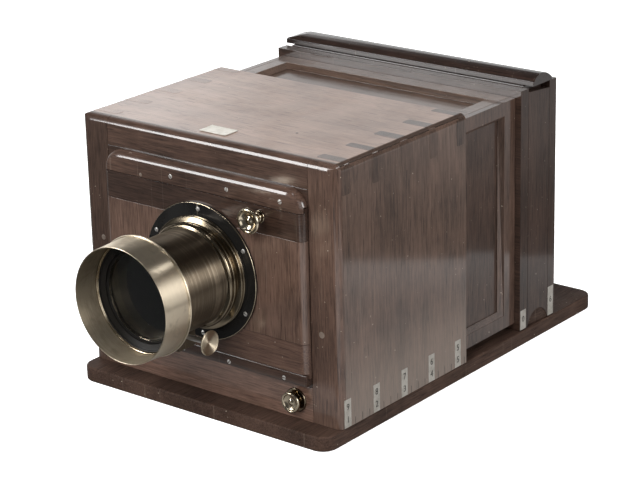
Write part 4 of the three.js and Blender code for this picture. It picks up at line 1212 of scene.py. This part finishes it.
# %% Key shapes
PROUD = 0.07
KEY_ARM = 19.3
KEYS = [((8.0, 14.5), (4.2, 11.5), 16.9), ((32.0, 38.0), (30.0, 36.5), 17.0),
        ((56.5, 63.5), (54.0, 62.0), 17.6), ((82.0, 89.0), (81.0, 87.0), 17.0),
        ((108.5, 114.2), (106.0, 113.0), 16.5)]


def joined(piece, other):
    """Makes the two one closed solid."""
    only(piece)
    bpy.ops.object.modifier_add(type="BOOLEAN")
    union = piece.modifiers[-1]
    union.operation, union.object = "UNION", other
    bpy.ops.object.modifier_apply(modifier=union.name)
    bpy.data.objects.remove(other)


def key_arm(low, high, test):
    """One arm: a block with its end corners rounded."""
    arm = block(low, high)
    bevel_edges(arm, 1.2, 3, test)
    return arm


def mitre_key(on_top, on_side, drop):
    """on_top and on_side: where each arm starts and ends behind the box front, in mm."""
    proud = (PROUD - 0.01) * MM
    top = key_arm((outer_half - KEY_ARM * MM, box_front + on_top[0] * MM, outer_top - 0.5 * MM),
                  (outer_half - 1.5 * MM, box_front + on_top[1] * MM, outer_top + PROUD * MM),
                  lambda a, b: (a.x + b.x) / 2 < outer_half - (KEY_ARM - 0.1) * MM and abs(a.z - b.z) > NEAR)
    side = key_arm((outer_half - 0.5 * MM, box_front + on_side[0] * MM, outer_top - drop * MM),
                   (outer_half + PROUD * MM, box_front + on_side[1] * MM, outer_top - 1.5 * MM),
                   lambda a, b: (a.z + b.z) / 2 < outer_top - (drop - 0.1) * MM and abs(a.x - b.x) > NEAR)
    heart = block((outer_half - 4.6 * MM, box_front + max(on_top[0], on_side[0]) * MM, outer_top - 4.6 * MM),
                  (outer_half + proud, box_front + min(on_top[1], on_side[1]) * MM, outer_top + proud))
    joined(top, side)
    joined(top, heart)
    round_edge(top, 1, PROUD - 0.01)
    return top


print("key shapes:", len(KEYS))

# %% Keys in both corners
for number, (on_top, on_side, drop) in enumerate(KEYS, 1):
    key = mitre_key(on_top, on_side, drop)
    mirrored_key = copied(key, (0, 0, 0))
    hand_over(key, f"mitre_key_right_{number}", "base", "mahogany_dark", KEY_WOOD)
    edit(mirrored_key)
    bpy.ops.transform.mirror(constraint_axis=(True, False, False), center_override=(0, 0, 0))
    bpy.ops.mesh.normals_make_consistent(inside=False)
    bpy.ops.object.mode_set(mode="OBJECT")
    hand_over(mirrored_key, f"mitre_key_left_{number}", "base", "mahogany_dark", KEY_FADED)
print("keys:", 2 * len(KEYS))

# %% [markdown]
# ## Scale marks
# Bone tags with plain numbers stand an inch apart along the foot of the right side, and two more
# are on the rear frame: they show how far the boxes are drawn out. The figures could be an image,
# but an image would need a file. So each is text that is raised and turned into a mesh before it
# is stood up on the tag. The five tags on the box are copies of one plate.

# %% Plates and figures
TAG_WIDE, TAG_FOOT = 5.6, 0.3
BEHIND, IN_FRONT, ON_TAG = 0.3, 0.12, 0.14 * MM


def tag_plate(tall):
    """A plate for a right side, its foot at the origin."""
    plate = block(place(-BEHIND, -TAG_WIDE / 2, 0), place(IN_FRONT, TAG_WIDE / 2, tall))
    ease(plate, 0.1, 2)
    return plate


def numeral(name, text, x, y, z, size, body):
    """A figure on the right side, cut from thin dark stuff."""
    bpy.ops.object.select_all(action="DESELECT")
    bpy.ops.object.text_add(location=(0, 0, 0))
    figure = bpy.context.object
    figure.data.body = text
    figure.data.align_x = "CENTER"
    figure.data.align_y = "CENTER"
    figure.data.size = size * MM
    figure.data.extrude = 0.05 * MM
    figure.data.resolution_u = 4
    only(figure)
    bpy.ops.object.convert(target="MESH")
    figure = bpy.context.object
    turned_up = Matrix(((0, 0, 1, x), (1, 0, 0, y), (0, 1, 0, z), (0, 0, 0, 1)))
    figure.data.transform(turned_up)
    return hand_over(figure, name, body, "black_lacquer", INK)


print("tag width, mm:", TAG_WIDE)

# %% Tags on the outer box
INCH, FIRST_TAG = 25.2, 5.6
foot_z = outer_low.z
pattern = tag_plate(16)
for number in range(5):
    middle = box_front + (FIRST_TAG + number * INCH) * MM
    plate = copied(pattern, (outer_half, middle, foot_z + TAG_FOOT * MM))
    hand_over(plate, f"scale_tag_{number + 1}", "base", "label_paper", BONE)
    for row, figure, height in (("low", number + 1, 4.6), ("high", 9 - number, 11.8)):
        numeral(f"scale_figure_{row}_{number + 1}", str(figure), outer_half + ON_TAG, middle,
                foot_z + height * MM, 5.2, "base")
bpy.data.objects.remove(pattern)
print("tags on the box:", number + 1)

# %% Tags on the rear frame
rear_low, rear_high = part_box("rear_side_right")
for name, node, figure, tall in (("rear_tag_front", "rear_front_board", "0", 12.0),
                                 ("rear_tag_back", "rear_back_frame", "6", 18.0)):
    low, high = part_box(node)
    middle = (low.y + high.y) / 2 - 0.4 * MM
    plate = tag_plate(tall)
    plate.data.transform(Matrix.Translation((rear_high.x, middle, rear_low.z + TAG_FOOT * MM)))
    hand_over(plate, name, "rear_box", "label_paper", BONE)
    numeral(name + "_figure", figure, rear_high.x + ON_TAG, middle, rear_low.z + tall * 0.55 * MM, 5.0,
            "rear_box")
print("tags on the rear frame:", 2)

# %% [markdown]
# ### Quarter marks
# Fine dark lines at every quarter inch stand between the tags, the half-inch ones a little
# taller. They are inlaid strips, so each is a thin block that is hardly proud of the side. One
# strip of each height is made, and the rest are copies.

# %% Quarter marks
MARK_HALF = 0.16
strips = {}
for quarter, top in ((1, 4.2), (2, 4.8), (3, 4.2)):
    strips[quarter] = block(place(-0.3, -MARK_HALF, 0.1), place(0.04, MARK_HALF, top))
    ease(strips[quarter], 0.02, 1)
marks = 0
for number in range(5):
    for quarter, strip in strips.items():
        middle = box_front + (FIRST_TAG + (number + quarter / 4) * INCH) * MM
        if middle < outer_high.y - 0.5 * MM:
            marks += 1
            mark = copied(strip, (outer_half, middle, foot_z))
            hand_over(mark, f"quarter_mark_{marks}", "base", "black_lacquer", INK)
for strip in strips.values():
    bpy.data.objects.remove(strip)
print("quarter marks:", marks)

# %% [markdown]
# ## Bar screws
# Three small screws show in the upper bar and four in the lower one. They are the flange's screw
# head again, a little smaller and almost flush with the wood, so one plain head is made and
# copied, and each copy gets its slot.

# %% Bar screws
BAR_SCREW = 1.25
bar_front, upper_z = (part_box("upper_bar")[0][k] / MM for k in (1, 2))
lower_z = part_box("lower_bar")[0].z / MM
places = [(x, upper_z + 4.3) for x in (-20.2, 19.2, 55.4)]
places += [(x, lower_z + 2.2) for x in (-54.7, -16.4, 16.4, 54.7)]
pattern = screw_head(BAR_SCREW, 0.12)
for number, (x, z) in enumerate(places, 1):
    head = slotted(pattern, place(x, bar_front - 0.12, z), BAR_SCREW, 0.9 * number)
    hand_over(head, f"bar_screw_{number}", "base", "brass_bright", STEEL, smooth=TURNED_WORK)
bpy.data.objects.remove(pattern)
print("bar screws:", len(places))

# %% [markdown]
# ## Plugs and stoppings
# Old holes have been filled: three with round plugs of paler wood, in the stiles and in the lower
# lip of the upper bar, and two nail holes in the top with dark wax. A spot of colour would do from
# far off, but a plug stands a hair proud and has a round edge. A plug is turned like a knob, and a
# stopping is a low cylinder with its rim eased. The bar's plug is given to the lens board and
# slides with it. That is a mistake: the bar stays still, so its plug belongs to the base.

# %% Wood plugs
for number, (x, z, radius) in enumerate(((77.0, 60.7, 1.9), (-77.5, 84.0, 1.6), (-42.0, 128.5, 1.1)), 1):
    on_stile = abs(x) > 70
    front = box_front / MM if on_stile else bar_front
    plug = turned([(0, front + 0.8), (radius, front + 0.8), (radius, front + 0.02),
                   (radius - 0.3, front - 0.06), (0, front - 0.10)], (x, z), steps=32)
    body = "base" if on_stile else "lens_panel"
    hand_over(plug, f"wood_plug_{number}", body, "mahogany_light", PLUG, smooth=TURNED_WORK)
print("plugs:", number)

# %% Filled nail holes
for number, (x, along, radius) in enumerate(((35.1, 35.4, 0.8), (73.4, 110.0, 1.0)), 1):
    middle = (x * MM, box_front + along * MM, outer_top - 0.11 * MM)
    bpy.ops.object.select_all(action="DESELECT")
    bpy.ops.mesh.primitive_cylinder_add(vertices=16, radius=radius * MM, depth=0.3 * MM, location=middle)
    stopping = bpy.context.object
    ease(stopping, 0.03, 1, 50)
    hand_over(stopping, f"nail_stopping_{number}", "base", "mahogany_dark", CAP_WOOD, smooth=TURNED_WORK)
print("stoppings:", number)

# %% [markdown]
# ## Paper label
# A plain slip of paper is pasted on the top, and its corners have lifted by a hair. A flat slab
# would look printed on. Cloth simulation would curl it, but slowly and too much. So the slip's
# faces are divided, and each point is raised by how near it is to a corner.

# %% Label
CURL = 0.1
low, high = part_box("top_label")
slip = block(low, high)
divide(slip, 7, faces=lambda centre, normal: abs(normal.z) > 0.5)
middle = (low + high) / 2
for vertex in slip.data.vertices:
    u = (vertex.co.x - middle.x) / (high.x - low.x) * 2
    v = (vertex.co.y - middle.y) / (high.y - low.y) * 2
    vertex.co.z += CURL * MM * abs(u * v) ** 3
ease(slip, 0.08, 2, 50)
hand_over(slip, "label_slip", "base", "label_paper", LABEL, "top_label")
print("label, mm:", [round(side / MM, 1) for side in high - low])

# %% [markdown]
# ## Studio
# Polished wood and brass show mostly what they mirror, so the room matters as much as the lamps.
# The floor looks plain and pale from the camera. In reflections it is a table that ends behind
# the box on the right: its lit surface lies in the polished side, and its far edge draws a level
# line there. One shader could not do both, so the floor has two, and asks whether the camera
# looks straight at it.

# %% Floor
bpy.ops.object.select_all(action="DESELECT")
bpy.ops.mesh.primitive_plane_add(size=8, location=(0, 0, -0.3 * MM))
floor = bpy.context.object
floor.name = "studio_floor"
material, tree, shader, spot = new_material("pale_floor")
shader.inputs["Base Color"].default_value = (0.86, 0.86, 0.86, 1)
shader.inputs["Roughness"].default_value = 0.9
shader.inputs["Specular IOR Level"].default_value = 0.0
shader.inputs["Emission Color"].default_value = (1, 1, 1, 1)
shader.inputs["Emission Strength"].default_value = 0.84
floor.data.materials.append(material)
print("floor laid")

# %% What the floor is in reflections
# depth runs away from the viewer along the floor and wide runs to the right, both in metres
across, along, _ = x_y_z(tree, spot)
depth = plus(tree, times(tree, across, 0.63), times(tree, along, 0.777))
wide = minus(tree, times(tree, across, 0.77), times(tree, along, 0.638))
front_edge = maths(tree, "MAXIMUM", spread(tree, along, -0.185, -0.170), spread(tree, across, 0.10, 0.13))
far_and_right = times(tree, spread(tree, depth, 0.254, 0.244), spread(tree, wide, 0.448, 0.438))
on_table = times(tree, far_and_right, front_edge)
# the table is brighter beside the box, towards its far rim and at the near corner
beside = times(tree, spread(tree, across, 0.0, 0.13), 0.30)
corner = times(tree, spread(tree, along, -0.14, -0.21), 0.55)
rim = plus(tree, times(tree, spread(tree, depth, 0.165, 0.24), 0.42), corner)
table = times(tree, on_table, plus(tree, plus(tree, beside, rim), 0.2))
# past the table the ground lies in shade and grows brighter with distance
beyond = plus(tree, times(tree, spread(tree, depth, 0.27, 0.62), 0.55), 0.1)
shine = tree.nodes.new("ShaderNodeEmission")
tree.links.new(plus(tree, table, beyond), shine.inputs["Strength"])
seen = tree.nodes.new("ShaderNodeLightPath")
either = tree.nodes.new("ShaderNodeMixShader")
output = [node for node in tree.nodes if node.type == "OUTPUT_MATERIAL"][0]
tree.links.new(seen.outputs["Is Camera Ray"], either.inputs["Fac"])
tree.links.new(shine.outputs["Emission"], either.inputs[1])
tree.links.new(shader.outputs["BSDF"], either.inputs[2])
tree.links.new(either.outputs["Shader"], output.inputs["Surface"])
print("floor nodes:", len(tree.nodes))

# %% [markdown]
# ## Soft lights
# A tall window at the left front draws the long highlights on the box's round front edge and on
# the upper bar. A panel high up lights the top of the lens, one at the right the hood's side, and
# one behind the box's top. Small lamps would burn hard spots into the brass, so all are panels.
# Two large ones only fill the shadows and aren't mirrored, because the polish would show them.

# %% Lamps
def softbox(name, spot, target, size, glow, mirrored=True):
    """glow is the panel's brightness as an eye sees it; a panel that isn't mirrored only gives light."""
    data = bpy.data.lights.new(name, "AREA")
    data.shape = "RECTANGLE"
    data.size, data.size_y = size
    data.energy = glow * pi * size[0] * size[1]
    lamp = bpy.data.objects.new(name, data)
    bpy.context.scene.collection.objects.link(lamp)
    lamp.location = spot
    lamp.rotation_euler = (Vector(target) - Vector(spot)).to_track_quat("-Z", "Y").to_euler()
    lamp.visible_camera = False
    lamp.visible_glossy = mirrored
    return lamp


softbox("panel_window", (-1.0, -1.375, 0.60), (0, -0.1, 0.1), (0.36, 1.0), 15)
softbox("panel_front", (0.30, -1.25, 0.85), (0, -0.1, 0.08), (0.7, 0.5), 15, mirrored=False)
softbox("panel_above", (0.02, -0.20, 1.30), (0, -0.05, 0.1), (0.6, 0.6), 5, mirrored=False)
softbox("panel_high", (0.085, -0.72, 1.185), (0.085, -0.11, 0.15), (0.14, 0.20), 9)
softbox("panel_behind", (0.55, 0.96, 1.10), (0.05, -0.06, 0.15), (0.25, 0.25), 6)
softbox("panel_right", (1.21, -0.15, 0.53), (0, -0.15, 0.09), (0.45, 0.44), 9.5)
print("lamps:", len(bpy.data.lights))

# %% [markdown]
# ## Room
# The wall behind on the left is bright near the horizon, and it lies on the top board as a sheen.
# Part of the right-hand wall is bright too, and the hood mirrors it. An image of a room could
# light the scene, but it would need a file, so the room's brightness is worked out from the
# direction of view. The camera itself sees plain white.

# %% Room light
world = bpy.data.worlds.new("studio_air")
bpy.context.scene.world = world
world.use_nodes = True
air = world.node_tree
background = air.nodes["Background"]
x, y, z = x_y_z(air, air.nodes.new("ShaderNodeTexCoord").outputs["Generated"])
towards = plus(air, times(air, x, -0.625), times(air, y, 0.78))
back_wall = times(air, spread(air, towards, 0.45, 0.80), spread(air, z, 0.47, 0.38))
left_wall = times(air, spread(air, x, -0.61, -0.66), spread(air, towards, 0.45, 0.80))
low_right = times(air, spread(air, z, 0.62, 0.44), spread(air, y, 0.66, 0.5))
right_wall = times(air, spread(air, x, 0.35, 0.60), low_right)
left_side = plus(air, times(air, back_wall, 0.9), times(air, left_wall, 0.8))
glow = plus(air, plus(air, left_side, times(air, right_wall, 1.3)), 0.07)
straight = air.nodes.new("ShaderNodeLightPath").outputs["Is Camera Ray"]
glow = plus(air, times(air, glow, minus(air, 1.0, straight)), straight)
background.inputs["Color"].default_value = (1, 1, 1, 1)
air.links.new(glow, background.inputs["Strength"])
print("room nodes:", len(air.nodes))

# %% [markdown]
# ## Camera
# The view is taken with a long lens from the front right, a little above the box, and tilted
# slightly to the side. A Track To constraint would point the camera but not tilt it, so its
# three directions are worked out from azimuth, elevation and roll.

# %% Camera
AZIMUTH, ELEVATION, ROLL = radians(38.723), radians(19.584), radians(1.399)
STAND, FOCAL_MM = (0.7648, -0.9759, 0.5045), 127.53
view = Vector((-sin(AZIMUTH) * cos(ELEVATION), cos(AZIMUTH) * cos(ELEVATION), -sin(ELEVATION)))
right = Vector((cos(AZIMUTH), sin(AZIMUTH), 0))
up = right.cross(view)
rolled_right = right * cos(ROLL) - up * sin(ROLL)
rolled_up = up * cos(ROLL) + right * sin(ROLL)
camera_data = bpy.data.cameras.new("studio_camera")
camera_data.sensor_width = 36
camera_data.lens = FOCAL_MM
camera_data.clip_start = 0.05
camera = bpy.data.objects.new("studio_camera", camera_data)
bpy.context.scene.collection.objects.link(camera)
turn = Matrix((rolled_right, rolled_up, -view)).transposed().to_4x4()
camera.matrix_world = Matrix.Translation(STAND) @ turn
bpy.context.scene.camera = camera
bpy.context.scene.view_settings.view_transform = "Standard"
bpy.context.scene.view_settings.look = "None"
print("camera distance, m:", round(Vector(STAND).length, 2))
